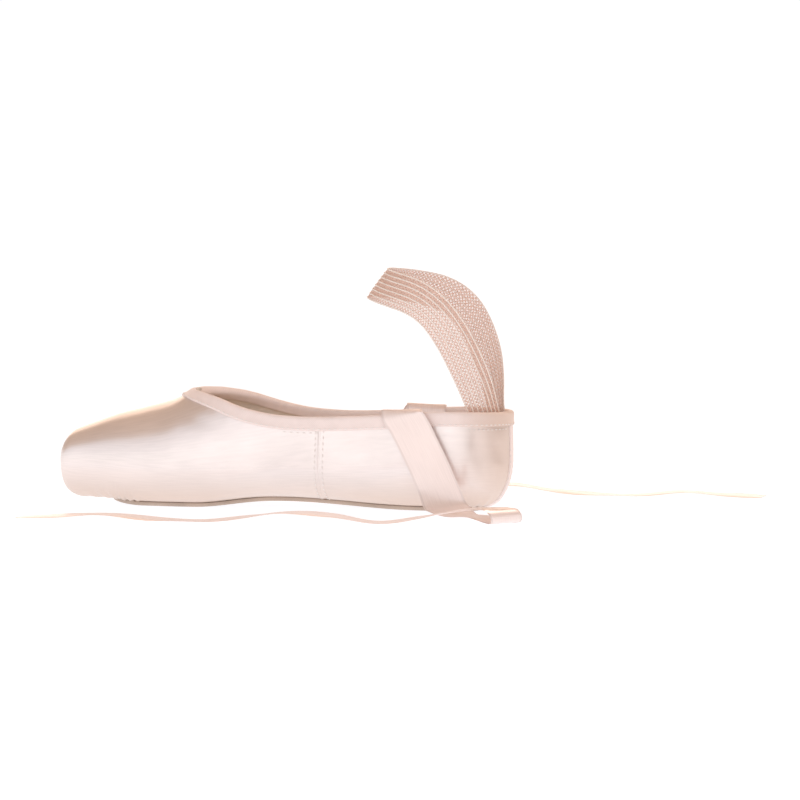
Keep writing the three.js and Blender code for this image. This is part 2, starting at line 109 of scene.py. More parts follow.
# The soles: where they start and how long their noses are, how far they stay inside what holds them, their
# corners' radius, and how many rows round the nose, along and round the heel. The outsole's nose turns up.
OUTSOLE = SimpleNamespace(
    start=24.5, nose=20.0, inset=0.5, lift=2.4, lift_length=23.0, gap=0.3, corner=0.45, counts=(22, 90, 26)
)
INSOLE = SimpleNamespace(
    start=14.0, nose=14.0, inset=1.6, gap=0.8, thickness=1.5, corner=0.5, counts=(18, 70, 22)
)
BINDING_DEPTH = 7.4  # from the upper's edge to where the side seam's stitches start

# Soft creases in the satin: from (t, height) to (t, height), width, height of the relief, and the side of
# the shoe, 0 for both. Below 0 they are troughs.
CREASES = np.array([
    (150, 11, 186, 15, 6.0, 0.40, 0),
    (168, 10, 210, 22, 4.8, -0.80, 0),
    (182, 25, 226, 32, 9.0, 0.35, 0),
    (196, 9, 222, 15, 4.5, 0.55, 0),
    (243, 17, 241, 42, 4.6, -1.05, 0),
    (233, 22, 235, 40, 4.2, 0.60, 0),
    (252, 36, 263, 24, 4.0, -0.40, 0),
    (226, 8, 246, 12, 4.0, -0.35, 0),
    (156, 38, 186, 33, 7.0, -0.25, 0),
    (108, 9, 140, 12, 5.0, 0.35, 1),
    (116, 15, 143, 20, 4.5, -0.35, 1),
    (104, 10, 138, 15, 4.2, -0.50, -1),
    (112, 18, 144, 27, 5.0, 0.40, -1),
    (154, 20, 178, 26, 4.0, -0.35, -1),
    (78, 50, 96, 44, 4.5, -0.30, 0),
    (84, 44, 108, 36, 6.0, 0.22, 0),
], float)

# The heel elastic's middle line on the left: place, the way its outer face looks, and how far its middle
# stands out from its edges.
ELASTIC_HALF = np.array([
    (-117.1, 12.9, 38.0, -0.78, 0.62, 0.00, 1.8),
    (-116.4, 13.2, 46.0, -0.78, 0.62, 0.00, 1.8),
    (-114.9, 14.6, 55.0, -0.74, 0.67, 0.05, 1.8),
    (-112.0, 19.0, 66.5, -0.58, 0.81, 0.08, 1.4),
    (-107.0, 25.0, 81.0, -0.36, 0.93, 0.10, 1.0),
    (-100.5, 29.2, 95.0, -0.18, 0.97, 0.13, 0.8),
    (-93.0, 31.5, 106.2, 0.02, 0.98, 0.20, 0.6),
    (-85.5, 31.8, 113.0, 0.17, 0.95, 0.27, 0.5),
    (-77.3, 30.3, 117.2, 0.34, 0.88, 0.33, 0.4),
    (-69.0, 26.8, 119.6, 0.48, 0.78, 0.40, 0.4),
    (-60.0, 20.0, 121.6, 0.64, 0.58, 0.50, 0.3),
    (-53.4, 10.6, 122.9, 0.76, 0.30, 0.57, 0.3),
    (-51.2, 3.2, 123.3, 0.80, 0.08, 0.59, 0.3),
], float)

# The ribbons' middle lines, from the sewn end to the cut end: place, the way the shown face looks, and how
# far the cross line leans forward.
RIBBON_LEFT = np.array([
    (-71, 26.2, 31, 0, -1, 0, 0),
    (-71, 25.1, 42, 0, -1, 0, 0),
    (-71, 24.4, 51, 0, -1, 0, 0),
    (-71.3, 25.8, 54.4, 0, -0.6, 0.8, -0.08),
    (-71.9, 28.5, 55.5, 0, 0.25, 0.97, -0.18),
    (-73.2, 31.7, 53, 0, 1, 0.25, -0.4),
    (-78.6, 32.2, 44, 0, 1, 0, -0.57),
    (-87, 32.6, 28, 0, 1, 0.04, -0.57),
    (-94.5, 34.4, 13, 0, 0.97, 0.24, -0.57),
    (-99.5, 38.4, 4.6, -0.1, 0.76, 0.64, -0.57),
    (-106, 46.5, 1.3, 0, 0.1, 0.99, -0.57),
    (-118, 63, 1.2, 0, 0, 1, -0.2),
    (-134, 84.5, 2.4, 0, 0, 1, 0.2),
    (-150, 105, 1.5, 0, 0, 1, 0.58),
    (-151.8, 107.8, 2.5, 0.64, -0.3, 0.71, 0.58),
    (-152.1, 110, 5.3, 0.91, -0.42, 0, 0.58),
    (-150.3, 111.1, 8.1, 0.64, -0.3, -0.71, 0.58),
    (-146.9, 111.6, 9.3, 0, 0, -1, 0.58),
    (-130, 113.2, 8.5, 0, 0, -1, 0.3),
    (-108, 115.3, 4.2, 0, 0, -1, 0),
    (-84, 117.6, 1.3, 0, 0, -1, 0),
    (-60, 119.6, 4.4, 0, 0, -1, 0),
    (-37, 121.5, 5.8, 0, 0, -1, 0),
    (-14, 123.5, 3.0, 0, 0, -1, 0),
    (8, 125.3, 0.9, 0, 0, -1, 0),
    (34, 127, 1.0, 0, 0, -1, 0),
    (60, 128.4, 3.2, 0, 0, -1, 0),
    (84, 129.4, 2.2, 0, 0, -1, 0),
    (110, 130.4, 0.9, 0, 0, -1, 0),
], float)
RIBBON_RIGHT = np.array([
    (-71, -26.2, 31, 0, 1, 0, 0),
    (-71, -25.1, 42, 0, 1, 0, 0),
    (-71, -24.4, 51, 0, 1, 0, 0),
    (-70.7, -25.8, 54.4, 0, 0.6, 0.8, -0.08),
    (-70.1, -28.5, 55.5, 0, -0.25, 0.97, -0.18),
    (-68.8, -31.8, 53, 0, -1, 0.25, -0.4),
    (-63.4, -33.4, 44, 0, -1, 0, -0.57),
    (-55, -35.2, 28, 0, -1, 0.04, -0.57),
    (-47.5, -37.2, 13, 0, -0.97, 0.24, -0.57),
    (-42.5, -41.2, 4.6, 0.1, -0.76, 0.64, -0.57),
    (-36, -49.3, 1.4, 0, -0.1, 0.99, -0.57),
    (-22, -65, 1.2, 0, 0, 1, -0.2),
    (-2, -84.5, 2.2, 0, 0, 1, 0.2),
    (18, -102, 1.4, 0, 0, 1, 0.45),
    (20.1, -104.3, 2.4, -0.66, 0.25, 0.71, 0.45),
    (20.7, -106.1, 5.2, -0.93, 0.36, 0, 0.45),
    (19.1, -106.9, 8.0, -0.66, 0.25, -0.71, 0.45),
    (16, -107.2, 9.2, 0, 0, -1, 0.45),
    (-2, -108.1, 8.3, 0, 0, -1, 0.2),
    (-24, -109.3, 4.2, 0, 0, -1, 0),
    (-48, -110.5, 1.2, 0, 0, -1, 0),
    (-73, -111.8, 4.2, 0, 0, -1, 0),
    (-96, -113, 5.6, 0, 0, -1, 0),
    (-120, -114.3, 2.8, 0, 0, -1, 0),
    (-144, -115.5, 0.9, 0, 0, -1, 0),
    (-170, -116.8, 1.0, 0, 0, -1, 0),
    (-194, -118, 3.0, 0, 0, -1, 0),
    (-218, -119, 2.0, 0, 0, -1, 0),
    (-240, -120, 0.9, 0, 0, -1, 0),
], float)


def distances(points):
    """How far along a line each of its points is."""
    return np.r_[0, np.cumsum(np.linalg.norm(np.diff(points, axis=0), axis=1))]


def spread(*parts):
    """Arrays of any shapes that go together, as the last axis of one."""
    return np.stack(np.broadcast_arrays(*parts), -1)


def unit(vectors):
    """Vectors at length 1: each one over its length."""
    return vectors / np.maximum(np.linalg.norm(vectors, axis=-1, keepdims=True), 1e-12)


def smooth_table(table, at):
    """A table's other columns where its first is at: a cubic between rows, whose slopes are those between
    the rows on either side, and level beyond the ends."""
    x, rows = table[:, 0], table[:, 1:]
    before, after = np.r_[0, : len(x) - 1], np.r_[1 : len(x), len(x) - 1]
    slope = (rows[after] - rows[before]) / (x[after] - x[before])[:, None]
    at = np.clip(np.asarray(at, float), x[0], x[-1])
    i = np.clip(np.searchsorted(x, at, side="right") - 1, 0, len(x) - 2)
    span = (x[i + 1] - x[i])[..., None]
    r = (at - x[i])[..., None] / span
    return (
        rows[i] * (1 + 2 * r) * (1 - r) ** 2
        + rows[i + 1] * r**2 * (3 - 2 * r)
        + slope[i] * span * r * (1 - r) ** 2
        - slope[i + 1] * span * r**2 * (1 - r)
    )


def ramp(low, high, x):
    """0 below low, 1 above high, and 3r^2 - 2r^3 between."""
    r = np.clip((x - low) / (high - low), 0, 1)
    return r * r * (3 - 2 * r)


def edge_rounding(s, edge):
    """How far a section has come in on the toe's rounded edge: a quarter ellipse of a length and depth."""
    length, depth = edge
    left = np.clip(1 - s / length, 0, 1)
    return depth * (1 - np.sqrt(1 - left**2))


def arch_lift(s):
    """Lift of the bottom: two half cosines that meet at the peak of the arch."""
    foot = np.where(s < ARCH_PEAK, ARCH_TREAD, ARCH_SEAT)
    lift = ARCH_HEIGHT / 2 * (1 - np.cos(np.pi * (s - foot) / (ARCH_PEAK - foot)))
    return np.where((s > ARCH_TREAD) & (s < ARCH_SEAT), lift, 0.0)


def station(t):
    """A distance t as the distance s before the heel's axis and the angle turned about it."""
    return np.minimum(t, HEEL_AXIS), np.maximum(t - HEEL_AXIS, 0) / HEEL_RADIUS


def section(t, grow=0.0):
    """The last's section at t, grown outwards: the table's row less the toe's roundings plus the arch."""
    s, swing = station(t)
    half, feather, bottom, widest, top, crown, wall = np.moveaxis(smooth_table(LAST, s), -1, 0)
    return SimpleNamespace(
        half=half - edge_rounding(s, TOE_SIDE) + grow,
        feather=feather + (HEEL_FEATHER - feather) * np.sin(swing) ** 2,
        bottom=bottom + arch_lift(s) + edge_rounding(s, TOE_BOTTOM) - np.maximum(grow, -FLOOR_WALL),
        widest=widest,
        top=top - edge_rounding(s, TOE_TOP) + grow,
        crown=crown,
        wall=wall,
    )


def placed(t, y, z, side=1, grow=0.0):
    """A section's point in space: upright at s before the heel, turned about the heel's axis behind it."""
    s, swing = station(t)
    forward = grow * np.maximum(0, 1 - s / OPENING_START)
    stretch = (HEEL_RADIUS + grow) / (LAST[-1, 1] + grow)
    x = TOE_X - s + forward - y * stretch * np.sin(swing)
    return spread(x, side * y * np.cos(swing), z)


def last_point(t, v, side=1, grow=0.0):
    """A point of the last: v runs from 0 to 1 along the flat bottom, to 2 up a quarter ellipse and to 3
    over a quarter superellipse."""
    c = section(t, grow)
    low, high = np.clip(v - 1, 0, 1) * np.pi / 2, np.clip(v - 2, 0, 1) * np.pi / 2
    flat_y, flat_z = c.feather * v, c.bottom
    low_y = c.feather + (c.half - c.feather) * np.sin(low)
    low_z = c.widest - (c.widest - c.bottom) * np.cos(low)
    high_y = c.half * np.maximum(np.cos(high), 0) ** (2 / c.crown)
    high_z = c.widest + (c.top - c.widest) * np.sin(high) ** (2 / c.crown)
    y = np.where(v <= 1, flat_y, np.where(v <= 2, low_y, high_y))
    z = np.where(v <= 1, flat_z, np.where(v <= 2, low_z, high_z))
    return placed(t, y, z, side, grow)


def v_at_height(c, z):
    """v where a section's upper quarter is at the height z: the superellipse solved for its angle."""
    share = np.clip((z - c.widest) / (c.top - c.widest), 0, 1)
    return 2 + 2 / np.pi * np.arcsin(share ** (c.crown / 2))


def throat_distance():
    """Where the last's top meets the collar line: their difference's zero on a fine scale."""
    s = np.linspace(COLLAR[0, 0], COLLAR[3, 0], 3001)
    return float(np.interp(0, section(s).top - smooth_table(COLLAR, s)[:, 0], s))


THROAT = throat_distance()


def collar_v(t):
    """v of the upper's edge: the top of the section before the throat, the collar's height behind it."""
    c = section(t)
    v = v_at_height(c, smooth_table(COLLAR, station(t)[0])[..., 0])
    for _ in range(3):
        v = v_at_height(c, smooth_table(COLLAR, TOE_X - last_point(t, v)[..., 0])[..., 0])
    return np.where(t <= THROAT, 3.0, v)


def nosed(s, start, nose, half):
    """Half width of a plan outline that starts with a half ellipse."""
    left = np.clip(1 - (s - start) / nose, 0, 1)
    return half * np.sqrt(1 - left**2)


def opening_v(t):
    """v of the edge that the sole covers: the flat's half width less an inset, with a rounded nose."""
    feather = section(t).feather
    return nosed(station(t)[0], OPENING_START, OPENING_NOSE, feather - OPENING_INSET) / feather


def way_out(t, v, side):
    """The last's outward direction: the cross product of small differences along it and round it."""
    low_t, high_t = np.clip(t - 0.05, 0, HEEL_END), np.clip(t + 0.05, 0, HEEL_END)
    low_v, high_v = np.clip(v - 0.002, 0, 3), np.clip(v + 0.002, 0, 3)
    back = last_point(high_t, v, side) - last_point(low_t, v, side)
    round_it = last_point(t, high_v, side) - last_point(t, low_v, side)
    return unit(np.cross(back, round_it) * side)


def outside_last(p):
    """How far points are from the last above its widest place: the superellipse's sum of powers less 1,
    with the heel's radius in the place of the width behind its axis."""
    s = np.minimum(TOE_X - p[..., 0], HEEL_AXIS)
    back = np.maximum(TOE_X - HEEL_AXIS - p[..., 0], 0) * LAST[-1, 1] / HEEL_RADIUS
    c = section(s)
    out = np.hypot(p[..., 1], back) / c.half
    up = np.maximum((p[..., 2] - c.widest) / (c.top - c.widest), 0)
    return out**c.crown + up**c.crown - 1


def slope_out(p):
    """The slope of outside_last: three central differences."""
    step = 0.05
    steps = np.eye(3) * step
    return np.stack([(outside_last(p + d) - outside_last(p - d)) / (2 * step) for d in steps], -1)


def onto_last(p):
    """The nearest points of the last: six steps down the slope."""
    for _ in range(6):
        out = slope_out(p)
        p = p - out * (outside_last(p) / (out**2).sum(-1))[..., None]
    return p


def even_loop(points, count):
    """A closed line's points at even distances along it."""
    closed = np.concatenate([points, points[:1]])
    at = distances(closed)
    wanted = np.linspace(0, at[-1], count, endpoint=False)
    return np.stack([np.interp(wanted, at, closed[:, k]) for k in range(3)], -1)


def collar_loop(count):
    """The upper's edge from the throat round the left, the heel and the right, evenly spaced, with the
    way along it, out of the last and down it."""
    t = THROAT + (HEEL_END - THROAT) * np.linspace(0, 1, 1200) ** 1.8
    half = last_point(t, collar_v(t))
    half[[0, -1], 1] = 0
    edge = even_loop(np.concatenate([half, (half * (1, -1, 1))[-2:0:-1]]), count)
    run = unit(np.roll(edge, -1, 0) - np.roll(edge, 1, 0))
    out = unit(slope_out(edge))
    return SimpleNamespace(edge=edge, run=run, out=out, down=unit(np.cross(run, out)))


def beside_collar(loop, far, out):
    """Points at a distance down the last from its edge and a distance out from it."""
    base = onto_last(loop.edge[:, None] + loop.down[:, None] * far[..., None])
    return base + unit(slope_out(base)) * out[..., None]


def line_beside(loop, far, out):
    """The line at one distance down the last from its edge and one out from it."""
    return beside_collar(loop, np.full((len(loop.edge), 1), far), np.full((len(loop.edge), 1), out))[:, 0]


# --------------------------------------------------------------------------------------- satin's relief

PLEATS = 15  # pairs of folds round the nose of the sole


def crease_relief(t, z, side):
    """Sum over the creases of height x exp(-(distance / width)^2), the distance being that to the line
    between two ends, and the height falling to 0 at them."""
    rows = CREASES[(CREASES[:, 6] == 0) | (CREASES[:, 6] == side)]
    start, end, width, height = rows[:, 0:2], rows[:, 2:4], rows[:, 4], rows[:, 5]
    here = spread(t, z)[..., None, :]
    span = end - start
    share = np.clip(((here - start) * span).sum(-1) / (span**2).sum(-1), 0, 1)
    off = np.linalg.norm(here - start - share[..., None] * span, axis=-1)
    return (height * np.sin(np.pi * (0.15 + 0.7 * share)) * np.exp(-((off / width) ** 2))).sum(-1)


def pleat_relief(p, height):
    """Folds that run out from the nose of the sole: height x a sharpened cosine of the angle, from the
    sole's edge to the toe's, and only underneath."""
    wide_at = OUTSOLE.start + OUTSOLE.nose
    ahead = (p[..., 0] - (TOE_X - wide_at)) / OUTSOLE.nose
    aside = p[..., 1] / section(np.array(wide_at)).feather
    angle, far = np.arctan2(aside, ahead), np.hypot(ahead, aside)
    fold = (0.5 + 0.5 * np.cos(2 * PLEATS * angle + 0.5 * np.sin(3 * angle) ** 2)) ** 0.7
    uneven = 0.75 + 0.25 * np.cos(5 * angle)
    reach = ramp(0.9, 1.02, far) * (1 - ramp(1.35, 2.05, far))
    under = (1 - ramp(5.5, 13.0, p[..., 2])) * (1 - ramp(1.5, 1.9, np.abs(angle)))
    return height * (fold - 0.35) * uneven * reach * under


def heel_pleat_relief(p, height):
    """Folds round the back of the heel's underside: 0.6 x height x a raised cosine of the angle, fading
    upwards."""
    back, aside = TOE_X - HEEL_AXIS - p[..., 0], p[..., 1]
    angle = np.arctan2(aside, np.maximum(back, 1e-6))
    under = (1 - ramp(4.0, 12.0, p[..., 2])) * ramp(0, 6, back)
    return 0.6 * height * (0.5 + 0.5 * np.cos(22 * angle)) * under


def gather_relief(p, edge):
    """Small puckers below the binding: 0.22 mm x two sines of the distance along the edge, strongest at the
    throat, fading over 6 mm from 5 mm down. The edge's points are about a millimetre apart."""
    flat = p.reshape(-1, 3)
    near = ((flat**2).sum(1)[:, None] - 2 * flat @ edge.T + (edge**2).sum(1)).argmin(1)
    far = np.linalg.norm(flat - edge[near], axis=1)
    along = near * np.linalg.norm(edge[1] - edge[0])
    drawn = 0.35 + 0.65 * np.exp(-((np.minimum(along, len(edge) - along) / 60) ** 2))
    wave = np.sin(along / 0.95 + 1.4 * np.sin(along / 9.0)) * np.sin(along / 3.1 + 0.7)
    return (0.22 * drawn * wave * np.exp(-np.maximum(far - 5, 0) / 6.0)).reshape(p.shape[:-1])


SEAM_T = 152.5
SEAM_LEAN = 0.03  # forward travel of the side seam for each millimetre down
SEAM_GROOVE = (0.55, 0.45)  # half width and depth of the groove along the side seam
TAPE_GROOVE = (0.4, 0.55)  # and of those beside the heel tape
TAPE_EDGE = 3.55  # how far aside those are
TOE_UNEVENNESS = 0.1  # height of the slow waves in the flat toe end


def seam_t(z):
    """Distance of the side seam at a height: it leans a little."""
    return SEAM_T + SEAM_LEAN * (z - 25)


def satin_surface(t, v, side, pleat_height, edge):
    """The satin's face: the last moved out by the sum of its reliefs, and the way out."""
    base, out = last_point(t, v, side), way_out(t, v, side)
    z = base[..., 2]
    (seam_width, seam_depth), (tape_width, tape_depth) = SEAM_GROOVE, TAPE_GROOVE
    seam = np.exp(-(((t - seam_t(z)) / seam_width) ** 2)) * ramp(0.8, 1.2, v)
    beside_tape = np.exp(-(((np.abs(base[..., 1]) - TAPE_EDGE) / tape_width) ** 2))
    platform = np.sin(base[..., 1] / 4.3) * np.sin(z / 5.1) * (1 - ramp(0, 10, t))
    relief = (
        crease_relief(t, z, side) * ramp(0.9, 1.4, v)
        + pleat_relief(base, pleat_height)
        + heel_pleat_relief(base, pleat_height)
        + gather_relief(base, edge)
        + TOE_UNEVENNESS * platform
        - seam_depth * seam
        - tape_depth * beside_tape * ramp(HEEL_AXIS + 20, HEEL_AXIS + 30, t)
    )
    moved = base + out * relief[..., None]
    middle = np.abs(base[..., 1]) < 1e-6
    moved[..., 1] = np.where(middle, 0.0, moved[..., 1])
    out[..., 1] = np.where(middle, 0.0, out[..., 1])
    return moved, unit(out)


# ------------------------------------------------------------------------------------------ meshes


def cells(shape):
    """The corners of each cell of grids of points that are numbered one after another."""
    index = np.arange(np.prod(shape)).reshape(shape)
    corners = (index[..., :-1, :-1], index[..., 1:, :-1], index[..., 1:, 1:], index[..., :-1, 1:])
    return np.stack([corner.ravel() for corner in corners], 1)


def grid_patch(points, uv=None):
    """A grid of points (rows, columns, 3) as quads, less those that lie in the middle plane, with its texture
    coordinates in millimetres."""
    quads = cells(points.shape[:2])
    flat = points.reshape(-1, 3)
    quads = quads[(np.abs(flat[quads][..., 1]) > 1e-5).any(1)]
    if uv is None:
        down = np.linalg.norm(np.gradient(points, axis=0), axis=-1).cumsum(0)
        uv = np.stack([down, np.linalg.norm(np.gradient(points, axis=1), axis=-1).cumsum(1)], -1)
    return flat, quads, uv.reshape(-1, 2)


def add_piece(name, patches, material, replaces=(), merge=0.02, crisp=50.0):
    """One closed mesh from patches (points, quads, uv): joined, its doubles merged and turned outwards,
    smooth but for edges sharper than crisp degrees. It rides the root body and may stand for CAD nodes."""
    starts = np.cumsum([0] + [len(patch[0]) for patch in patches[:-1]])
    points = np.concatenate([patch[0] for patch in patches]) * MM
    quads = np.concatenate([patch[1] + start for patch, start in zip(patches, starts)])
    uv = np.concatenate([patch[2] for patch in patches]) * MM
    mesh = bpy.data.meshes.new(name)
    mesh.from_pydata(points, [], quads)
    mesh.uv_layers.new(name=UV_NAME).uv.foreach_set("vector", uv[quads.ravel()].astype(np.float32).ravel())
    work = bmesh.new()
    work.from_mesh(mesh)
    bmesh.ops.remove_doubles(work, verts=work.verts, dist=merge * MM)
    bmesh.ops.dissolve_degenerate(work, edges=work.edges, dist=1e-7)
    bmesh.ops.recalc_face_normals(work, faces=work.faces)
    work.to_mesh(mesh)
    work.free()
    mesh.polygons.foreach_set("use_smooth", np.ones(len(mesh.polygons), bool))
    mesh.set_sharp_from_angle(angle=math.radians(crisp))
    mesh.update()
    mesh.materials.append(material)
    obj = bpy.data.objects.new(name, mesh)
    bpy.context.scene.collection.objects.link(obj)
    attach(obj, "root")
    if replaces:
        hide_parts(*replaces)
    return obj


def shell_patches(outside, inside, uv):
    """An outer and an inner grid, joined along the first and the last column."""
    joins = [(np.stack([outside[:, k], inside[:, k]], 1), np.stack([uv[:, k]] * 2, 1)) for k in (0, -1)]
    return [grid_patch(*grid) for grid in ((outside, uv), (inside, uv), *joins)]


def toe_disc(ring, rings, swell):
    """The flat end of the toe, half of it: rings that shrink to its middle, which stands out by swell
    x (1 - r^2)."""
    middle = np.array([ring[:, 0].mean(), 0, (ring[0, 2] + ring[-1, 2]) / 2])
    r = np.linspace(1, 0, rings)[:, None, None]
    disc = middle + (ring[None] - middle) * r
    disc[..., 0] = ring[None, :, 0] * r[..., 0] + (1 - r[..., 0]) * middle[0] + swell * (1 - r[..., 0] ** 2)
    return grid_patch(disc, disc[..., 2:0:-1])


def stitch_patches(points, along, out, length, radius):
    """Stitches as slim grains of thread: spindles of seven rings whose radius is an ellipse's, a quarter
    wider than they are high."""
    ring, turn = np.linspace(-1, 1, 7), np.linspace(0, 2 * np.pi, 7)
    fat = radius * np.sqrt(np.maximum(1 - ring**2, 0))
    along, out = unit(along), unit(out)
    side = unit(np.cross(along, out))
    grains = (
        points[:, None, None]
        + along[:, None, None] * (ring * length / 2)[None, :, None, None]
        + side[:, None, None] * (fat[:, None] * np.cos(turn))[None, ..., None] * 1.25
        + out[:, None, None] * (fat[:, None] * np.sin(turn))[None, ..., None]
    )
    uv = np.broadcast_to(spread(ring[:, None] * length, radius * turn), (*grains.shape[:3], 2))
    return grains.reshape(-1, 3), cells(grains.shape[:3]), uv.reshape(-1, 2)


def spaced(points, vectors, pitch, closed=False):
    """A line's points and unit vectors every pitch, with the way along it."""
    if closed:
        points, vectors = np.concatenate([points, points[:1]]), np.concatenate([vectors, vectors[:1]])
    at = distances(points)
    wanted = np.linspace(0, at[-1], max(int(at[-1] / pitch), 2), endpoint=not closed)

    def values_at(where, rows):
        return np.stack([np.interp(where, at, rows[:, k]) for k in range(3)], -1)

    ahead, behind = np.minimum(wanted + 0.4, at[-1]), np.maximum(wanted - 0.4, 0)
    along = values_at(ahead, points) - values_at(behind, points)
    return values_at(wanted, points), along, values_at(wanted, vectors)


def stitch_row(line, out, sizes, lift=0.0, closer=1.0, longer=1.0, fatter=1.0, closed=False):
    """Stitches at their pitch along a line, lifted off it; shares of 1 change their pitch, length and
    thickness."""
    points, along, up = spaced(line, out, sizes.stitch_pitch / MM * closer, closed)
    length, radius = sizes.stitch_length / MM * longer, sizes.thread_radius / MM * fatter
    return stitch_patches(points + unit(up) * lift, along, up, length, radius)


def band_line(route, spacing):
    """Frames along a band: its rows are carried on by a cubic over the distance between them, and its
    cross line is run x face, leaning forward by a share of the run."""
    at = distances(route[:, :3])
    fine = smooth_table(np.c_[at, route], np.linspace(0, at[-1], 6 * int(at[-1])))
    far = distances(fine[:, :3])
    wanted = np.linspace(0, far[-1], int(far[-1] / spacing) + 1)
    rows = np.stack([np.interp(wanted, far, fine[:, k]) for k in range(route.shape[1])], -1)
    run = unit(np.gradient(rows[:, :3], axis=0))
    side = unit(np.cross(run, rows[:, 3:6]))
    out = unit(np.cross(side, run))
    return SimpleNamespace(at=rows[:, :3], run=run, side=side, out=out, more=rows[:, 6:], far=wanted)


def band_patches(line, across, width, thick, aside, lift, selvedge):
    """A flat band: its middle surface is the line plus aside x half its width plus a lift, and its faces
    stand half its thickness off, with rounded, slightly thicker edges."""
    middle = line.at[:, None] + across[:, None] * (aside * width / 2)[None, :, None]
    middle = middle + line.out[:, None] * lift[..., None]
    far = np.abs(aside)
    half = thick / 2 * (1 - far**14) + selvedge * np.exp(-(((1 - far) / 0.07) ** 2)) * (1 - far**30)
    up = line.out[:, None] * half[None, :, None]
    top, bottom = middle + up, middle - up
    uv = spread(line.far[:, None], aside * width / 2)
    ends = [(np.stack([top[k], bottom[k]]), np.stack([uv[k], uv[k]])) for k in (0, -1)]
    return [grid_patch(*grid) for grid in ((top, uv), (bottom, uv), *ends)]


def tube_patches(points, out, radius, around):
    """A thread along a line: a circle carried along it, with closed ends."""
    run = unit(np.gradient(points, axis=0))
    side = unit(np.cross(run, out))
    up = unit(np.cross(side, run))
    turn = np.linspace(0, 2 * np.pi, around + 1)
    size = np.full(len(points), radius)
    size[[0, -1]] = 0
    rows = (
        points[:, None]
        + side[:, None] * (size[:, None] * np.cos(turn))[..., None]
        + up[:, None] * (size[:, None] * np.sin(turn))[..., None]
    )
    return [grid_patch(rows, spread(distances(points)[:, None], turn * radius))]


# ---------------------------------------------------------------------------------------- materials

WAVE_SCALE = 0.32  # puts a wave texture's upright bands about one unit apart


def linear(hex_colour):
    """An sRGB hex colour as linear red, green and blue."""
    parts = [int(hex_colour[k : k + 2], 16) / 255 for k in (1, 3, 5)]
    return tuple(c / 12.92 if c <= 0.04045 else ((c + 0.055) / 1.055) ** 2.4 for c in parts)


def add(tree, kind, sockets=None, **settings):
    """Adds a shader node: settings are its own, and each socket takes a value or a link."""
    made = tree.nodes.new("ShaderNode" + kind)
    for name, value in settings.items():
        setattr(made, name, value)
    for key, value in (sockets or {}).items():
        if isinstance(value, bpy.types.NodeSocket):
            tree.links.new(value, made.inputs[key])
        else:
            made.inputs[key].default_value = value
    return made


def new_material(name):
    """An empty node material and its tree."""
    material = bpy.data.materials.new(name)
    material.use_nodes = True
    material.node_tree.nodes.clear()
    return material, material.node_tree


def shades(colour, light, dark):
    """A colour, and it made lighter and darker by shares, with alpha."""
    base = np.array(tuple(colour), float)
    return (*np.clip(base * light, 0, 1), 1.0), (*np.clip(base * dark, 0, 1), 1.0)


def painted_shade_tone(tree, tone):
    """A tone made darker and warmer low down, near the sole's edge, and towards the back of the heel: painted
    shade and painted warm bounce light."""
    place = add(tree, "TexCoord").outputs["Object"]
    parts = add(tree, "SeparateXYZ", {0: place})
    # Painted shade and warm bounce light low down: strongest at the floor, gone by 22 mm up.
    low = {"Value": parts.outputs[2], "From Min": 0.002, "From Max": 0.022, "To Min": 0.8, "To Max": 0.0}
    foot = add(tree, "MapRange", low).outputs[0]
    # Painted shade towards the back of the heel.
    back = {"Value": parts.outputs[0], "From Min": -0.096, "From Max": -0.128, "To Max": 0.65}
    heel = add(tree, "MapRange", back, interpolation_type="SMOOTHSTEP").outputs[0]
    painted_shade = add(tree, "Math", {0: foot, 1: heel}, operation="MAXIMUM").outputs[0]
    # The colour of the painted shade.
    painted_shade_colour = (*linear("#DCC0AC"), 1.0)
    return add(tree, "Mix", {0: painted_shade, 6: tone, 7: painted_shade_colour}, data_type="RGBA").outputs[2]


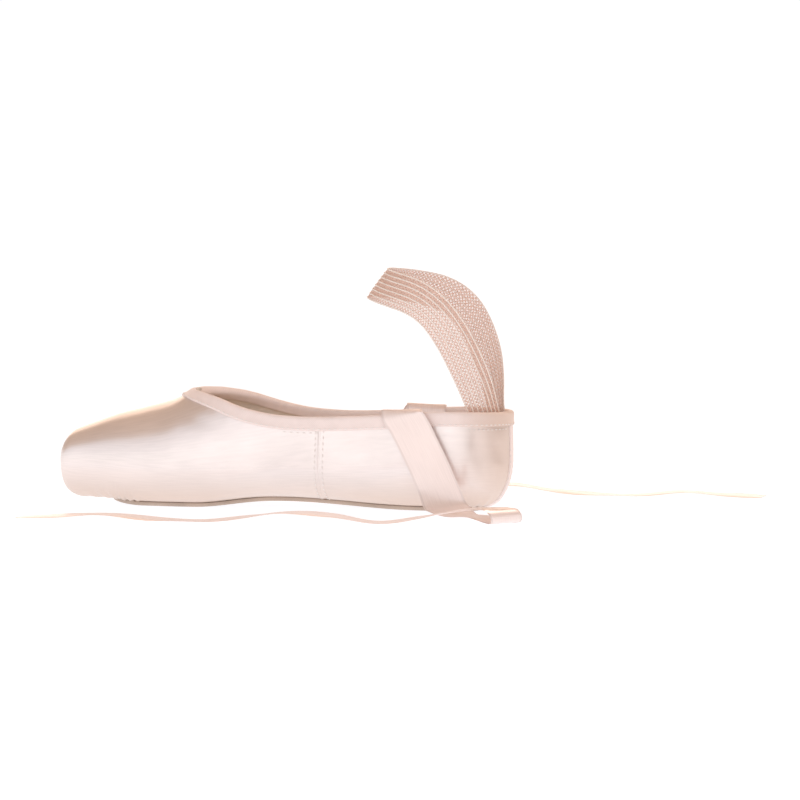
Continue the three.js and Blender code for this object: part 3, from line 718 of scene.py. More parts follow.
def satin_material(name, colour, metallic, selvedge=0.0):
    """Satin, woven of polyester with long warp floats and pressed: smooth threads that all run lengthwise,
    so light stretches into long soft bands and shows fine lengthwise streaks."""
    material, tree = new_material(name)
    uv = add(tree, "UVMap", uv_map=UV_NAME).outputs[0]
    # Real floats are about 0.1 mm wide; bundles of 0.45 mm by 15 mm are the finest that show.
    streak = add(tree, "Mapping", {"Vector": uv, "Scale": (1 / 0.015, 1 / 0.00045, 1)}).outputs[0]
    streaks = add(tree, "TexNoise", {"Vector": streak, "Scale": 1.0, "Detail": 2.0}).outputs[0]
    # The cloth's own slow unevenness, over about 30 mm.
    patch = add(tree, "Mapping", {"Vector": uv, "Scale": (1 / 0.034, 1 / 0.02, 1)}).outputs[0]
    patches = add(tree, "TexNoise", {"Vector": patch, "Scale": 1.0, "Detail": 2.0}).outputs[0]
    # Weft picks every 0.5 mm, a few times coarser than real.
    pick = add(tree, "Mapping", {"Vector": uv, "Scale": (1 / 0.0005, 1 / 0.0005, 1)}).outputs[0]
    weft = {"Vector": pick, "Scale": 0.5, "Distortion": 1.2, "Detail": 1.0}
    picks = add(tree, "TexWave", weft, bands_direction="DIAGONAL").outputs[1]
    mixed = add(tree, "Math", {0: streaks, 1: patches}, operation="ADD").outputs[0]
    factor = add(tree, "MapRange", {"Value": mixed, "From Min": 0.72, "From Max": 1.28}).outputs[0]
    light, dark = shades(colour, 1.035, 0.93)
    tone = add(tree, "Mix", {0: factor, 6: dark, 7: light}, data_type="RGBA").outputs[2]
    if selvedge:
        across = add(tree, "SeparateXYZ", {0: uv}).outputs[1]
        far = add(tree, "Math", {0: across}, operation="ABSOLUTE").outputs[0]
        inner, outer = selvedge - 0.0013, selvedge - 0.0009
        edge = add(tree, "MapRange", {"Value": far, "From Min": inner, "From Max": outer}).outputs[0]
        woven = (*np.array(tuple(colour)) * 0.86, 1.0)
        tone = add(tree, "Mix", {0: edge, 6: tone, 7: woven}, data_type="RGBA").outputs[2]
    else:
        # Painted shade: darker and warmer near the sole and towards the heel.
        tone = painted_shade_tone(tree, tone)
    glossy = {"Value": streaks, "From Min": 0.3, "From Max": 0.7, "To Min": 0.28, "To Max": 0.36}
    rough = add(tree, "MapRange", glossy).outputs[0]
    relief = add(tree, "Math", {0: picks, 1: 0.35, 2: streaks}, operation="MULTIPLY_ADD").outputs[0]
    bump = add(tree, "Bump", {"Height": relief, "Strength": 0.35, "Distance": 0.00008}).outputs[0]
    tangent = add(tree, "Tangent", direction_type="UV_MAP", uv_map=UV_NAME).outputs[0]
    finish = {"Base Color": tone, "Roughness": rough, "Normal": bump, "Tangent": tangent}
    finish |= {"Metallic": metallic, "IOR": 1.55, "Specular IOR Level": 0.8, "Anisotropic": 0.55}
    finish |= {"Sheen Weight": 0.12, "Sheen Roughness": 0.35, "Sheen Tint": (1.0, 0.96, 0.94, 1.0)}
    finish |= {"Coat Weight": 0.3, "Coat Roughness": 0.25}
    surface = add(tree, "BsdfPrincipled", finish)
    add(tree, "OutputMaterial", {"Surface": surface.outputs[0]})
    return material


def cloth_material(name, colour, thread, rough, sheen, strength, twill=False, painted_shade=False):
    """Plain cotton, woven: matt threads over and under, or a slanting rib where it is a twill."""
    material, tree = new_material(name)
    uv = add(tree, "UVMap", uv_map=UV_NAME).outputs[0]
    scaled = add(tree, "Mapping", {"Vector": uv, "Scale": (1 / thread, 1 / thread, 1)}).outputs[0]
    waves = {"Vector": scaled, "Scale": WAVE_SCALE, "Distortion": 0.8, "Detail": 1.0}
    warp = add(tree, "TexWave", waves, bands_direction="DIAGONAL" if twill else "X").outputs[1]
    weft = add(tree, "TexWave", waves, bands_direction="Y").outputs[1]
    weave = add(tree, "Math", {0: warp, 1: weft}, operation="MULTIPLY" if twill else "MAXIMUM").outputs[0]
    slub = add(tree, "TexNoise", {"Vector": scaled, "Scale": 0.12, "Detail": 3.0}).outputs[0]
    light, dark = shades(colour, 1.03, 0.9)
    factor = add(tree, "Math", {0: weave, 1: 0.45, 2: slub}, operation="MULTIPLY_ADD").outputs[0]
    tone = add(tree, "Mix", {0: factor, 6: dark, 7: light}, data_type="RGBA").outputs[2]
    # Painted shade, where asked: darker and warmer near the sole and towards the heel.
    if painted_shade:
        tone = painted_shade_tone(tree, tone)
    bump = add(tree, "Bump", {"Height": weave, "Strength": strength, "Distance": 0.00015}).outputs[0]
    finish = {"Base Color": tone, "Roughness": rough, "Normal": bump, "Specular IOR Level": 0.4}
    finish |= {"Sheen Weight": sheen, "Sheen Roughness": 0.5}
    surface = add(tree, "BsdfPrincipled", finish)
    add(tree, "OutputMaterial", {"Surface": surface.outputs[0]})
    return material


def suede_material(name, colour):
    """Chrome-tanned split leather, buffed: a short nap without shine, in soft patches where it was
    brushed one way or the other."""
    material, tree = new_material(name)
    place = add(tree, "TexCoord").outputs["Object"]
    # Nap of about 0.6 mm, and brushed patches of about 20 mm.
    fine = {"Vector": place, "Scale": 1600.0, "Detail": 4.0, "Roughness": 0.65}
    nap = add(tree, "TexNoise", fine).outputs[0]
    brushed = add(tree, "TexNoise", {"Vector": place, "Scale": 50.0, "Detail": 3.0}).outputs[0]
    mixed = add(tree, "Math", {0: nap, 1: 0.5, 2: brushed}, operation="MULTIPLY_ADD").outputs[0]
    factor = add(tree, "MapRange", {"Value": mixed, "From Min": 0.5, "From Max": 1.0}).outputs[0]
    light, dark = shades(colour, 1.08, 0.82)
    tone = add(tree, "Mix", {0: factor, 6: dark, 7: light}, data_type="RGBA").outputs[2]
    bump = add(tree, "Bump", {"Height": nap, "Strength": 0.6, "Distance": 0.0003}).outputs[0]
    finish = {"Base Color": tone, "Roughness": 0.88, "Normal": bump, "Specular IOR Level": 0.3}
    finish |= {"Sheen Weight": 0.3, "Sheen Roughness": 0.6}
    surface = add(tree, "BsdfPrincipled", finish)
    add(tree, "OutputMaterial", {"Surface": surface.outputs[0]})
    return material


def net_material(name, colour):
    """Elastic net, knitted of nylon round covered rubber: sheer between its threads."""
    material, tree = new_material(name)
    uv = add(tree, "UVMap", uv_map=UV_NAME).outputs[0]
    # The net's real holes are about 0.4 mm; a pitch of 1.1 mm is the finest that shows.
    scaled = add(tree, "Mapping", {"Vector": uv, "Scale": (1 / 0.0011, 1 / 0.0011, 1)}).outputs[0]
    turned = add(tree, "Mapping", {"Vector": scaled, "Rotation": (0, 0, math.pi / 2)}).outputs[0]
    one, two = (
        add(tree, "TexWave", {"Vector": way, "Scale": WAVE_SCALE}, bands_direction="DIAGONAL").outputs[1]
        for way in (scaled, turned)
    )
    both = add(tree, "Math", {0: one, 1: two}, operation="MAXIMUM").outputs[0]
    sheer = {"Value": both, "From Min": 0.45, "From Max": 0.95, "To Min": 0.2, "To Max": 0.8}
    cover = add(tree, "MapRange", sheer).outputs[0]
    light, dark = shades(colour, 1.05, 0.9)
    tone = add(tree, "Mix", {0: both, 6: dark, 7: light}, data_type="RGBA").outputs[2]
    finish = {"Base Color": tone, "Alpha": cover, "Roughness": 0.6}
    finish |= {"Sheen Weight": 0.2, "Sheen Roughness": 0.4}
    surface = add(tree, "BsdfPrincipled", finish)
    add(tree, "OutputMaterial", {"Surface": surface.outputs[0]})
    return material


def thread_material(name, colour, twist):
    """Spun polyester thread: two plies twisted, slightly glossy, seen as slanting lines."""
    material, tree = new_material(name)
    uv = add(tree, "UVMap", uv_map=UV_NAME).outputs[0]
    scaled = add(tree, "Mapping", {"Vector": uv, "Scale": (1 / twist, 1 / twist, 1)}).outputs[0]
    waves = {"Vector": scaled, "Scale": WAVE_SCALE}
    plies = add(tree, "TexWave", waves, bands_direction="DIAGONAL").outputs[1]
    light, dark = shades(colour, 1.03, 0.86)
    tone = add(tree, "Mix", {0: plies, 6: dark, 7: light}, data_type="RGBA").outputs[2]
    bump = add(tree, "Bump", {"Height": plies, "Strength": 0.5, "Distance": 0.0001}).outputs[0]
    finish = {"Base Color": tone, "Roughness": 0.5, "Normal": bump, "Sheen Weight": 0.2}
    surface = add(tree, "BsdfPrincipled", finish)
    add(tree, "OutputMaterial", {"Surface": surface.outputs[0]})
    return material


# ------------------------------------------------------------------------------------- sizes, colours


def length_property(name, description, default):
    """A length in metres that the panel shows with its unit."""
    return bpy.props.FloatProperty(
        name=name, description=description, default=default, min=0.0, subtype="DISTANCE", unit="LENGTH"
    )


def colour_property(name, description, hex_colour):
    """A colour, given as sRGB hex."""
    shade = linear(hex_colour)
    return bpy.props.FloatVectorProperty(
        name=name, description=description, default=shade, size=3, min=0.0, max=1.0, subtype="COLOR"
    )


class PointeShoeSizes(bpy.types.PropertyGroup):
    """Sizes that a user may change."""

    pleat_height: length_property("Pleat height", "Height of the satin's folds under the toe", 0.00115)
    stitch_length: length_property("Stitch length", "Length of a stitch", 0.0019)
    stitch_pitch: length_property("Stitch pitch", "From one stitch to the next", 0.0029)
    thread_radius: length_property("Thread radius", "Half the sewing thread's thickness", 0.00026)
    seam_gap: length_property("Seam gap", "Between the side seam's two rows of stitches", 0.0042)
    ribbon_width: length_property("Ribbon width", "Width of the ribbons", 0.022)
    elastic_width: length_property("Elastic width", "Width of the heel elastic", 0.020)
    elastic_ribs: bpy.props.IntProperty(
        name="Elastic ribs", description="Covered rubber ribs in the heel elastic", default=8, min=2, max=20
    )
    back_tape_width: length_property("Back tape width", "Width of the tape down the heel", 0.0064)


class PointeShoeColours(bpy.types.PropertyGroup):
    """Colours that a user may change."""

    satin: colour_property("Satin", "The upper's satin", "#F6ECE9")
    ribbon: colour_property("Ribbon", "The ribbons' satin", "#FCEBE5")
    binding: colour_property("Binding", "The binding tape", "#FBEBE6")
    leather: colour_property("Sole leather", "The outsole's suede", "#C8B4A5")
    lining: colour_property("Lining", "The cotton lining", "#EFE5DA")
    insole: colour_property("Insole", "The insole's cotton", "#E9DCCB")
    thread: colour_property("Thread", "The sewing thread", "#F8EFEA")
    tape_thread: colour_property("Binding thread", "The binding's own thread", "#FFF4F0")
    elastic: colour_property("Elastic net", "The net of the heel elastic", "#E4C2B2")
    rib: colour_property("Elastic rib", "The ribs of the heel elastic", "#FAEEE5")
    floor: colour_property("Floor", "The studio floor", "#F2F5FA")


# --------------------------------------------------------------------------------------- operators


class PointeShoeStudio(bpy.types.Operator):
    """Add the floor, the lights and the camera"""

    bl_idname = "pointe_shoe.studio"
    bl_label = "Studio"

    def execute(self, context):
        scene = context.scene
        scene.view_settings.view_transform = "Standard"
        azimuth, elevation, distance, width = math.radians(196), math.radians(3.2), 3.0, 0.44
        level = math.cos(elevation)
        back = Vector((math.sin(azimuth) * level, -math.cos(azimuth) * level, math.sin(elevation)))
        target = Vector((-0.058, -0.017, 0.058))
        data = bpy.data.cameras.new("camera")
        data.sensor_width = 36.0
        data.lens = 36.0 * distance / width
        data.clip_start, data.clip_end = 0.1, 50.0
        camera = bpy.data.objects.new("camera", data)
        scene.collection.objects.link(camera)
        camera.location = target + back * distance
        camera.rotation_mode = "QUATERNION"
        camera.rotation_quaternion = (-back).to_track_quat("-Z", "Y")
        scene.camera = camera

        floor_mesh = bpy.data.meshes.new("floor")
        radius, drop, sides = 12.0, 0.0003, 64  # a little below 0, so that what lies on it doesn't flicker
        turn = np.linspace(0, 2 * np.pi, sides, endpoint=False)
        rim = spread(radius * np.cos(turn), radius * np.sin(turn), -drop)
        floor_mesh.from_pydata(rim, [], [list(range(sides))])
        floor = bpy.data.objects.new("floor", floor_mesh)
        scene.collection.objects.link(floor)
        # Painted studio floor: matt white, with some light of its own so that it stays pale far off.
        material, tree = new_material("Matt studio paint")
        colour = (*scene.pointe_colours.floor, 1.0)
        finish = {"Base Color": (0.42, 0.42, 0.42, 1.0), "Roughness": 0.9, "Specular IOR Level": 0.1}
        finish |= {"Emission Color": colour, "Emission Strength": 0.86}
        surface = add(tree, "BsdfPrincipled", finish)
        add(tree, "OutputMaterial", {"Surface": surface.outputs[0]})
        floor_mesh.materials.append(material)

        world = bpy.data.worlds.new("studio")
        scene.world = world
        world.use_nodes = True
        tree = world.node_tree
        tree.nodes.clear()
        # White at the horizon, a broad soft light on the shoe's left, a dim warm room above it and on the
        # right, and a duller wall behind the heel.
        place = add(tree, "TexCoord").outputs["Generated"]
        parts = add(tree, "SeparateXYZ", {0: place})
        x, y, z = parts.outputs
        soft_step = {"interpolation_type": "SMOOTHSTEP"}
        rise = add(tree, "MapRange", {0: z, 1: 0.09, 2: 0.30}, **soft_step).outputs[0]
        lean = add(tree, "Math", {0: y, 1: z}, operation="SUBTRACT").outputs[0]
        right = add(tree, "MapRange", {0: lean, 1: 0.00, 2: -0.36}, **soft_step).outputs[0]
        low, soft, room = (1.02, 1.02, 1.02, 1.0), (0.84, 0.83, 0.86, 1.0), (0.45, 0.285, 0.175, 1.0)
        sky = add(tree, "Mix", {0: right, 6: soft, 7: room}, data_type="RGBA").outputs[2]
        front = add(tree, "Mix", {0: rise, 6: low, 7: sky}, data_type="RGBA").outputs[2]
        behind = add(tree, "MapRange", {0: x, 1: -0.62, 2: -0.86}, **soft_step).outputs[0]
        wall = (0.26, 0.17, 0.125, 1.0)
        colour = add(tree, "Mix", {0: behind, 6: front, 7: wall}, data_type="RGBA").outputs[2]
        background = add(tree, "Background", {"Color": colour, "Strength": 1.0}).outputs[0]
        add(tree, "OutputWorld", {"Surface": background})

        lights = {
            "key_light": ((0.15, 0.95, 0.24), 50, 0.26, "#FFFDFC"),
            "overhead_light": ((-0.50, -0.45, 0.75), 30, 1.15, "#FFEDE2"),
            "back_light": ((0.30, -0.90, 0.40), 40, 0.40, "#FFE6D4"),
        }
        for name, (direction, angle, strength, colour) in lights.items():
            light = bpy.data.lights.new(name, "SUN")
            light.energy, light.angle, light.color = strength, math.radians(angle), linear(colour)
            lamp = bpy.data.objects.new(name, light)
            scene.collection.objects.link(lamp)
            lamp.rotation_mode = "QUATERNION"
            lamp.rotation_quaternion = (-Vector(direction)).to_track_quat("-Z", "Y")
        return {"FINISHED"}


class PointeShoeRibbons(bpy.types.Operator):
    """Add the two satin ribbons, sewn inside the quarters and lying loose"""

    bl_idname = "pointe_shoe.ribbons"
    bl_label = "Ribbons"

    def execute(self, context):
        sizes, colours = context.scene.pointe_sizes, context.scene.pointe_colours
        width = sizes.ribbon_width / MM
        satin = satin_material(
            "Ribbon satin with woven edges", colours.ribbon, 0.16, selvedge=sizes.ribbon_width / 2
        )
        aside = np.linspace(-1, 1, 17)
        for name, route, phase in (("ribbon_left", RIBBON_LEFT, 0.0), ("ribbon_right", RIBBON_RIGHT, 1.9)):
            line = band_line(route, 1.6)
            # It cups a little all along, and its edges ripple where it lies free.
            far = line.far[:, None]
            ripple = 0.35 * np.sin(far / 7.5 + phase + 1.3 * aside) * aside**2
            lift = 0.14 * (aside**2 - 1) + ramp(60, 130, far) * ripple
            across = line.side + line.more[:, :1] * line.run
            patches = band_patches(line, across, width, 0.5, aside, lift, selvedge=0.12)
            piece = add_piece(name + "_satin", patches, satin, [name])
        return {"FINISHED"}


class PointeShoeUpper(bpy.types.Operator):
    """Add the satin upper and its lining, both on the form of the last"""

    bl_idname = "pointe_shoe.upper"
    bl_label = "Upper"

    def execute(self, context):
        sizes, colours = context.scene.pointe_sizes, context.scene.pointe_colours
        # Close rows at the toe's roundings, behind the throat, at the side seam and beside the heel tape.
        toe = TOE_BOTTOM[0] * (1 - np.cos(np.linspace(0, np.pi / 2, 13)))
        throat = THROAT + (100 - THROAT) * np.linspace(0, 1, 26, endpoint=False) ** 1.7
        places = (100, SEAM_T - 3, SEAM_T + 3, HEEL_AXIS, HEEL_END - 5.2)
        counts = (30, 15, 34, 24)
        back = [np.linspace(*ends, count, endpoint=False) for *ends, count in zip(places, places[1:], counts)]
        vamp = np.linspace(TOE_BOTTOM[0], THROAT, 50, endpoint=False)
        stations = np.concatenate([toe[:-1], vamp, throat, *back, np.linspace(places[-1], HEEL_END, 16)])
        t = stations[:, None]
        low, high = opening_v(stations)[:, None], collar_v(stations)[:, None]
        v = low + (high - low) * np.linspace(0, 1, 66)
        edge = collar_loop(EDGE_POINTS).edge
        satin = satin_material("Duchess satin", colours.satin, 0.52)
        weave = {"thread": 0.0008, "rough": 0.85, "sheen": 0.2, "strength": 0.4}
        lining = cloth_material("Cotton canvas lining", colours.lining, **weave)
        outer, inner = [], []
        for side in (1, -1):
            face, out = satin_surface(t, v, side, sizes.pleat_height / MM, edge)
            uv = spread(t, side * v * QUARTER_GIRTH)
            back = face - out * SATIN_THICKNESS
            outer += shell_patches(face, back, uv)
            outer += [toe_disc(ring, rings=9, swell=0.35) for ring in (face[0], back[0])]
            front = face - out * LINING_DEPTH
            inside = last_point(t, v, side, -section(t).wall)
            inner += shell_patches(front, inside, uv)
            inner += [toe_disc(front[0], rings=7, swell=0.35), toe_disc(inside[0], rings=7, swell=0.1)]
        add_piece("upper_satin", outer, satin, ["upper"], merge=0.01, crisp=70)
        add_piece("upper_lining", inner, lining, merge=0.01, crisp=70)
        return {"FINISHED"}


def plan_stations(shape):
    """Distances for a flat piece: by even angles round its nose, then evenly on and round the heel."""
    nose_count, straight_count, heel_count = shape.counts
    wide_at = shape.start + shape.nose
    nose = shape.start + shape.nose * (1 - np.cos(np.linspace(0, np.pi / 2, nose_count)))
    straight = np.linspace(wide_at, HEEL_AXIS, straight_count, endpoint=False)
    return np.concatenate([nose[:-1], straight, np.linspace(HEEL_AXIS, HEEL_END, heel_count)])


def plate_patches(t, reach, low, high, corner):
    """Both sides of a flat piece: its profile runs out along the underside, round two small corners and
    back along the top."""
    turn, flat = np.linspace(0, np.pi / 2, 4), np.linspace(0, 1, 7)[:-1]
    reach, low, high = reach[:, None], low[:, None], high[:, None]
    small = np.minimum(corner, reach / 2)
    out, level = reach - small, 0 * flat
    y = [out * flat, out + small * np.sin(turn), out + small * np.cos(turn), out * flat[::-1]]
    rise, fall = corner * (1 - np.cos(turn)), corner * (1 - np.sin(turn))
    z = [low + level, low + rise, high - fall, high + level]
    y, z = np.concatenate(y, axis=1), np.concatenate(z, axis=1)
    return [grid_patch(placed(t[:, None], y, z, side)) for side in (1, -1)]


class PointeShoeSoles(bpy.types.Operator):
    """Add the suede outsole and the insole"""

    bl_idname = "pointe_shoe.soles"
    bl_label = "Outsole and insole"

    def execute(self, context):
        colours = context.scene.pointe_colours
        suede = suede_material("Buffed split leather", colours.leather)
        t = plan_stations(OUTSOLE)
        s, c = station(t)[0], section(t)
        bend = np.clip(1 - (s - OUTSOLE.start) / OUTSOLE.lift_length, 0, 1)
        low = OUTSOLE.lift * bend**1.5 + arch_lift(s)
        reach = nosed(s, OUTSOLE.start, OUTSOLE.nose, c.feather - OUTSOLE.inset)
        patches = plate_patches(t, reach, low, c.bottom - OUTSOLE.gap, OUTSOLE.corner)
        add_piece("outsole_leather", patches, suede, ["outsole"])

        weave = {"thread": 0.0009, "rough": 0.9, "sheen": 0.25, "strength": 0.45, "twill": True}
        cotton = cloth_material("Cotton twill insole", colours.insole, **weave)
        t = plan_stations(INSOLE)
        c = section(t, -section(t).wall)
        low = c.bottom + INSOLE.gap
        drop = (c.widest - low) / (c.widest - c.bottom)
        wall = c.feather + (c.half - c.feather) * np.sqrt(1 - drop**2)
        reach = nosed(station(t)[0], INSOLE.start, INSOLE.nose, wall - INSOLE.inset)
        patches = plate_patches(t, reach, low, low + INSOLE.thickness, INSOLE.corner)
        add_piece("insole_sock", patches, cotton, ["insole"])
        return {"FINISHED"}


# The binding's profile, closed: distance down the last from its edge, distance out from it, and how many
# walls further in.
BINDING_PROFILE = np.array([
    (6.55, 0.35, 0),
    (6.70, 0.62, 0),
    (6.45, 0.82, 0),
    (5.60, 0.88, 0),
    (4.60, 0.88, 0),
    (3.40, 0.90, 0),
    (2.30, 1.02, 0),
    (1.20, 1.16, 0),
    (0.20, 1.16, 0),
    (-0.60, 0.82, 0),
    (-1.05, 0.25, 0),
    (-1.20, -0.30, 0.3),
    (-1.15, -0.55, 0.75),
    (-0.85, -0.95, 1),
    (-0.20, -1.40, 1),
    (0.80, -1.58, 1),
    (2.20, -1.52, 1),
    (3.60, -1.50, 1),
    (4.35, -1.45, 1),
    (4.55, -1.20, 1),
    (4.35, -0.92, 1),
    (2.60, -0.90, 1),
    (1.00, -0.88, 1),
    (0.00, -0.75, 1),
    (-0.45, -0.40, 0.8),
    (-0.55, -0.15, 0.3),
    (-0.35, 0.20, 0),
    (0.30, 0.36, 0),
    (2.00, 0.35, 0),
    (4.40, 0.35, 0),
], float)


class PointeShoeBinding(bpy.types.Operator):
    """Add the binding over the upper's edge and the drawstring that shows at the throat"""

    bl_idname = "pointe_shoe.binding"
    bl_label = "Binding"

    def execute(self, context):
        sizes, colours = context.scene.pointe_sizes, context.scene.pointe_colours
        loop = collar_loop(LOOP_POINTS)
        wall = section(np.minimum(TOE_X - loop.edge[:, 0], HEEL_AXIS)).wall[:, None]
        far, out, walls = BINDING_PROFILE.T
        along = np.arange(len(loop.edge)) * np.linalg.norm(loop.edge[1] - loop.edge[0])
        # The cord inside pulls the fold into slight waves, and parts it where its ends come out.
        wave = 0.10 * np.sin(along / 2.3 + np.sin(along / 11))[:, None] * np.exp(-(((far - 1) / 2.2) ** 2))
        wave[:, out < 0.5] = 0
        total = along[-1] + along[1]
        split = np.exp(-((np.minimum(along, total - along) / 1.6) ** 2))[:, None]
        dip = 1.5 * split * np.exp(-(((far + 0.6) / 1.6) ** 2))
        rows = beside_collar(loop, far + dip, out + wave - walls * wall)
        closed = np.pad(rows, ((0, 1), (0, 1), (0, 0)), mode="wrap")
        girth = distances(np.stack([far, out], -1))
        uv = spread(np.r_[along, total][:, None], np.r_[girth, girth[-1] + 2])
        weave = {"thread": 0.0006, "rough": 0.55, "sheen": 0.35, "strength": 0.25, "twill": True}
        # The binding tape carries painted shade, darker and warmer towards the back of the heel.
        tape = cloth_material("Cotton binding tape", colours.binding, **weave, painted_shade=True)
        add_piece("binding_tape", [grid_patch(closed, uv)], tape, ["binding"], crisp=80)

        thread = thread_material("Sewing thread of the binding", colours.tape_thread, 0.0006)
        patches = [stitch_row(line_beside(loop, 5.75, 0.92), loop.out, sizes, closed=True)]
        add_piece("binding_stitches", patches, thread, merge=0.005)

        cord = thread_material("Braided cotton drawstring", colours.lining, 0.0012)
        aside = np.linspace(-1, 1, 41)
        base = onto_last(spread(TOE_X - THROAT + 0.4 - aside**2, 4.2 * aside, 63.0))
        up = unit(slope_out(base))
        string = base + up * 0.35 + np.array([-2.2, 0, -0.6]) * (1 - aside**4)[:, None]
        # Its knot is a figure of eight that leans back.
        turn, centre = np.linspace(0, 2 * np.pi, 33), string[20]
        knot = centre + spread(0.85 * np.sin(2 * turn), 1.25 * np.cos(turn), 0.8 * np.sin(turn))
        patches = tube_patches(string, up, radius=0.75, around=10)
        patches += tube_patches(knot, unit(knot - centre + 1e-3), radius=0.62, around=8)
        add_piece("drawstring", patches, cord, merge=0.005)
        return {"FINISHED"}


class PointeShoeSeams(bpy.types.Operator):
    """Add the side seams' stitches, the tape down the heel and the stitches that hold elastic and ribbons"""

    bl_idname = "pointe_shoe.seams"
    bl_label = "Seams"

    def execute(self, context):
        sizes, colours = context.scene.pointe_sizes, context.scene.pointe_colours
        edge, pleat = collar_loop(EDGE_POINTS).edge, sizes.pleat_height / MM
        thread = thread_material("Sewing thread of the seams", colours.thread, 0.0006)

        under_tape = float(smooth_table(COLLAR, SEAM_T)[0]) - BINDING_DEPTH
        v = np.linspace(float(v_at_height(section(np.array(SEAM_T)), under_tape)), 1.12, 120)
        rows = []
        for side in (1, -1):
            z = last_point(np.full(len(v), SEAM_T), v, side)[:, 2]
            for shift in (-0.5, 0.5):
                face, out = satin_surface(seam_t(z) + shift * sizes.seam_gap / MM, v, side, pleat, edge)
                rows.append(stitch_row(face, out, sizes, lift=0.12))
        add_piece("side_seam_stitches", rows, thread, merge=0.005)

        # The tape covers the back seam from the binding to the sole, over about 55 mm.
        weave = {"thread": 0.0006, "rough": 0.55, "sheen": 0.3, "strength": 0.25, "twill": True}
        tape = cloth_material("Cotton heel tape", colours.binding, **weave)
        v = np.linspace(float(collar_v(np.array(HEEL_END))) - 0.05, 0.98, 70)[:, None]
        half_width = sizes.back_tape_width / MM / 2
        aside = np.linspace(0, 1, 6) * half_width
        reach = np.abs(last_point(np.array(HEEL_AXIS), v)[..., 1])
        t = HEEL_END - HEEL_RADIUS * np.arcsin(np.clip(aside / reach, 0, 1))
        thick = 0.08 + 0.42 * (1 - (aside / half_width) ** 10)
        patches, rows = [], []
        for side in (1, -1):
            face, out = satin_surface(t, v + 0 * t, side, pleat, edge)
            outer, inner = face + out * thick[:, None], face + out * 0.02
            uv = spread(np.linspace(0, 55, len(v))[:, None], side * aside)
            patches += [grid_patch(outer, uv), grid_patch(inner, uv)]
            patches += [grid_patch(np.stack([outer[:, -1], inner[:, -1]], 1))]
            patches += [grid_patch(np.stack([outer[k], inner[k]])) for k in (0, -1)]
            rows.append(stitch_row(outer[6:, -2], out[6:, -2], sizes, lift=-0.08))
        add_piece("heel_tape", patches, tape, merge=0.005, crisp=80)
        add_piece("heel_tape_stitches", rows, thread, merge=0.005)

        # Just under the binding: a row where the elastic's end is sewn through, 26 to 76 degrees round the
        # heel from the side, and one that runs forward from the side seam.
        seam_row = 19.0
        loop = collar_loop(LOOP_POINTS)
        held_line, seam_line = line_beside(loop, 8.3, 0.10), line_beside(loop, 7.9, 0.10)
        rows = []
        for side in (1, -1):
            swing = np.arctan2(TOE_X - HEEL_AXIS - loop.edge[:, 0], side * loop.edge[:, 1])
            held = (swing > math.radians(26)) & (swing < math.radians(76))
            stout = {"closer": 0.8, "longer": 0.95, "fatter": 1.15}
            rows.append(stitch_row(held_line[held], loop.out[held], sizes, **stout))
            ahead = SEAM_T - (TOE_X - loop.edge[:, 0])
            by_seam = (side * loop.edge[:, 1] > 0) & (ahead > 0) & (ahead < seam_row)
            rows.append(stitch_row(seam_line[by_seam], loop.out[by_seam], sizes))
        add_piece("elastic_end_stitches", rows, thread, merge=0.005)

        # A crossed box on each ribbon's sewn end, inside the quarter: how far forward, and height.
        corners = np.array([(-9, 33), (9, 33), (9, 44), (-9, 44), (-9, 33), (9, 44)], float)
        box = np.concatenate([np.linspace(*ends, 40, endpoint=False) for ends in zip(corners, corners[1:])])
        rows = []
        for route in (RIBBON_LEFT, RIBBON_RIGHT):
            side = np.sign(route[0, 1])
            depth = np.interp(box[:, 1], route[:3, 2], np.abs(route[:3, 1])) - 0.42
            line = np.stack([route[0, 0] + box[:, 0], side * depth, box[:, 1]], -1)
            rows.append(stitch_row(line, np.tile([0.0, -side, 0.0], (len(line), 1)), sizes))
        add_piece("ribbon_end_stitches", rows, thread, merge=0.005)
        return {"FINISHED"}


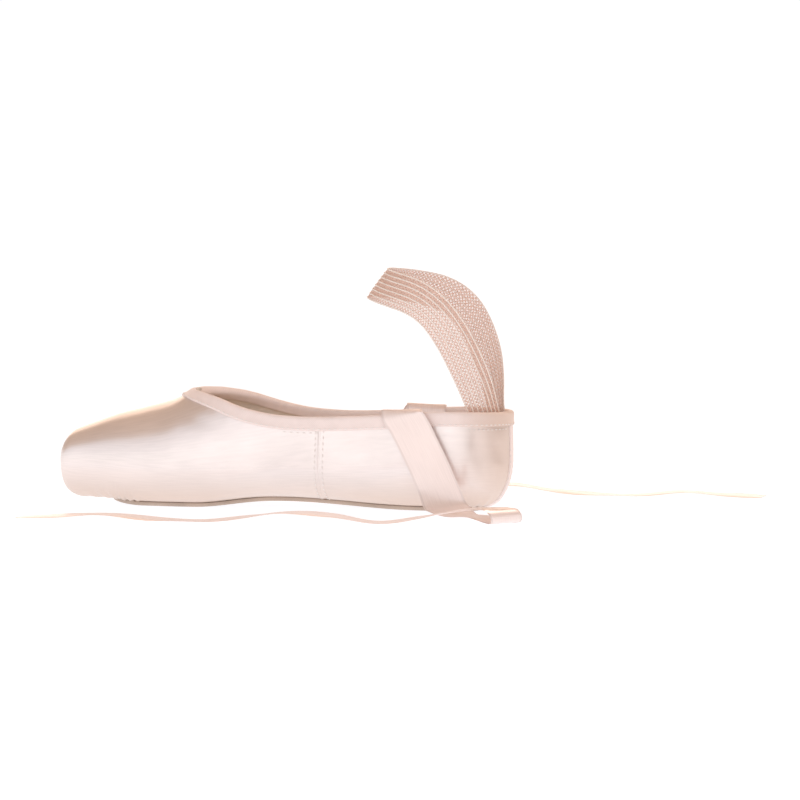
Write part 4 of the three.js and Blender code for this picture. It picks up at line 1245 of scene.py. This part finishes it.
class PointeShoeElastic(bpy.types.Operator):
    """Add the heel elastic: a sheer net with lengthwise ribs"""

    bl_idname = "pointe_shoe.elastic"
    bl_label = "Heel elastic"

    def execute(self, context):
        sizes, colours = context.scene.pointe_sizes, context.scene.pointe_colours
        width = sizes.elastic_width / MM
        mirror = ELASTIC_HALF[::-1] * (1, -1, 1, 1, -1, 1, 1)
        line = band_line(np.concatenate([ELASTIC_HALF, mirror]), 1.2)
        cup = line.more[:, :1]
        net = net_material("Elastic net", colours.elastic)
        aside = np.linspace(-1, 1, 21)
        patches = band_patches(line, line.side, width, 0.45, aside, -cup * aside**2, selvedge=0.05)
        add_piece("heel_elastic_net", patches, net, ["heel_elastic"])
        rib = thread_material("Covered rubber rib", colours.rib, 0.0009)
        # A rib stands out a little more between the net's crossings.
        beads = 0.05 * np.sin(line.far / 0.55)[:, None]
        ribs = []
        for place in np.linspace(-0.95, 0.95, sizes.elastic_ribs):
            points = line.at + line.side * place * width / 2 + line.out * (0.12 + beads - cup * place**2)
            ribs += tube_patches(points, line.out, radius=0.42, around=8)
        add_piece("heel_elastic_ribs", ribs, rib, merge=0.005)
        return {"FINISHED"}


OPERATORS = (
    PointeShoeStudio,
    PointeShoeRibbons,
    PointeShoeUpper,
    PointeShoeSoles,
    PointeShoeBinding,
    PointeShoeSeams,
    PointeShoeElastic,
)


class PointeShoePanel(bpy.types.Panel):
    """The shoe's pieces, sizes and colours"""

    bl_idname = "VIEW3D_PT_pointe_shoe"
    bl_label = "Pointe Shoe"
    bl_space_type = "VIEW_3D"
    bl_region_type = "UI"
    bl_category = "Pointe Shoe"

    def draw(self, context):
        for operator in OPERATORS:
            self.layout.operator(operator.bl_idname)
        for group in (context.scene.pointe_sizes, context.scene.pointe_colours):
            box = self.layout.box()
            for name in group.__annotations__:
                box.prop(group, name)


CLASSES = (PointeShoeSizes, PointeShoeColours, *OPERATORS, PointeShoePanel)


def register():
    """Adds the classes and the scene's two groups of properties."""
    for kind in CLASSES:
        bpy.utils.register_class(kind)
    bpy.types.Scene.pointe_sizes = bpy.props.PointerProperty(type=PointeShoeSizes)
    bpy.types.Scene.pointe_colours = bpy.props.PointerProperty(type=PointeShoeColours)


def unregister():
    """Takes them away again."""
    del bpy.types.Scene.pointe_sizes
    del bpy.types.Scene.pointe_colours
    for kind in reversed(CLASSES):
        bpy.utils.unregister_class(kind)


def main():
    """Builds the stage and every piece."""
    register()
    bpy.ops.pointe_shoe.studio()
    bpy.ops.pointe_shoe.ribbons()
    bpy.ops.pointe_shoe.upper()
    bpy.ops.pointe_shoe.soles()
    bpy.ops.pointe_shoe.binding()
    bpy.ops.pointe_shoe.seams()
    bpy.ops.pointe_shoe.elastic()


if __name__ == "__main__":
    main()
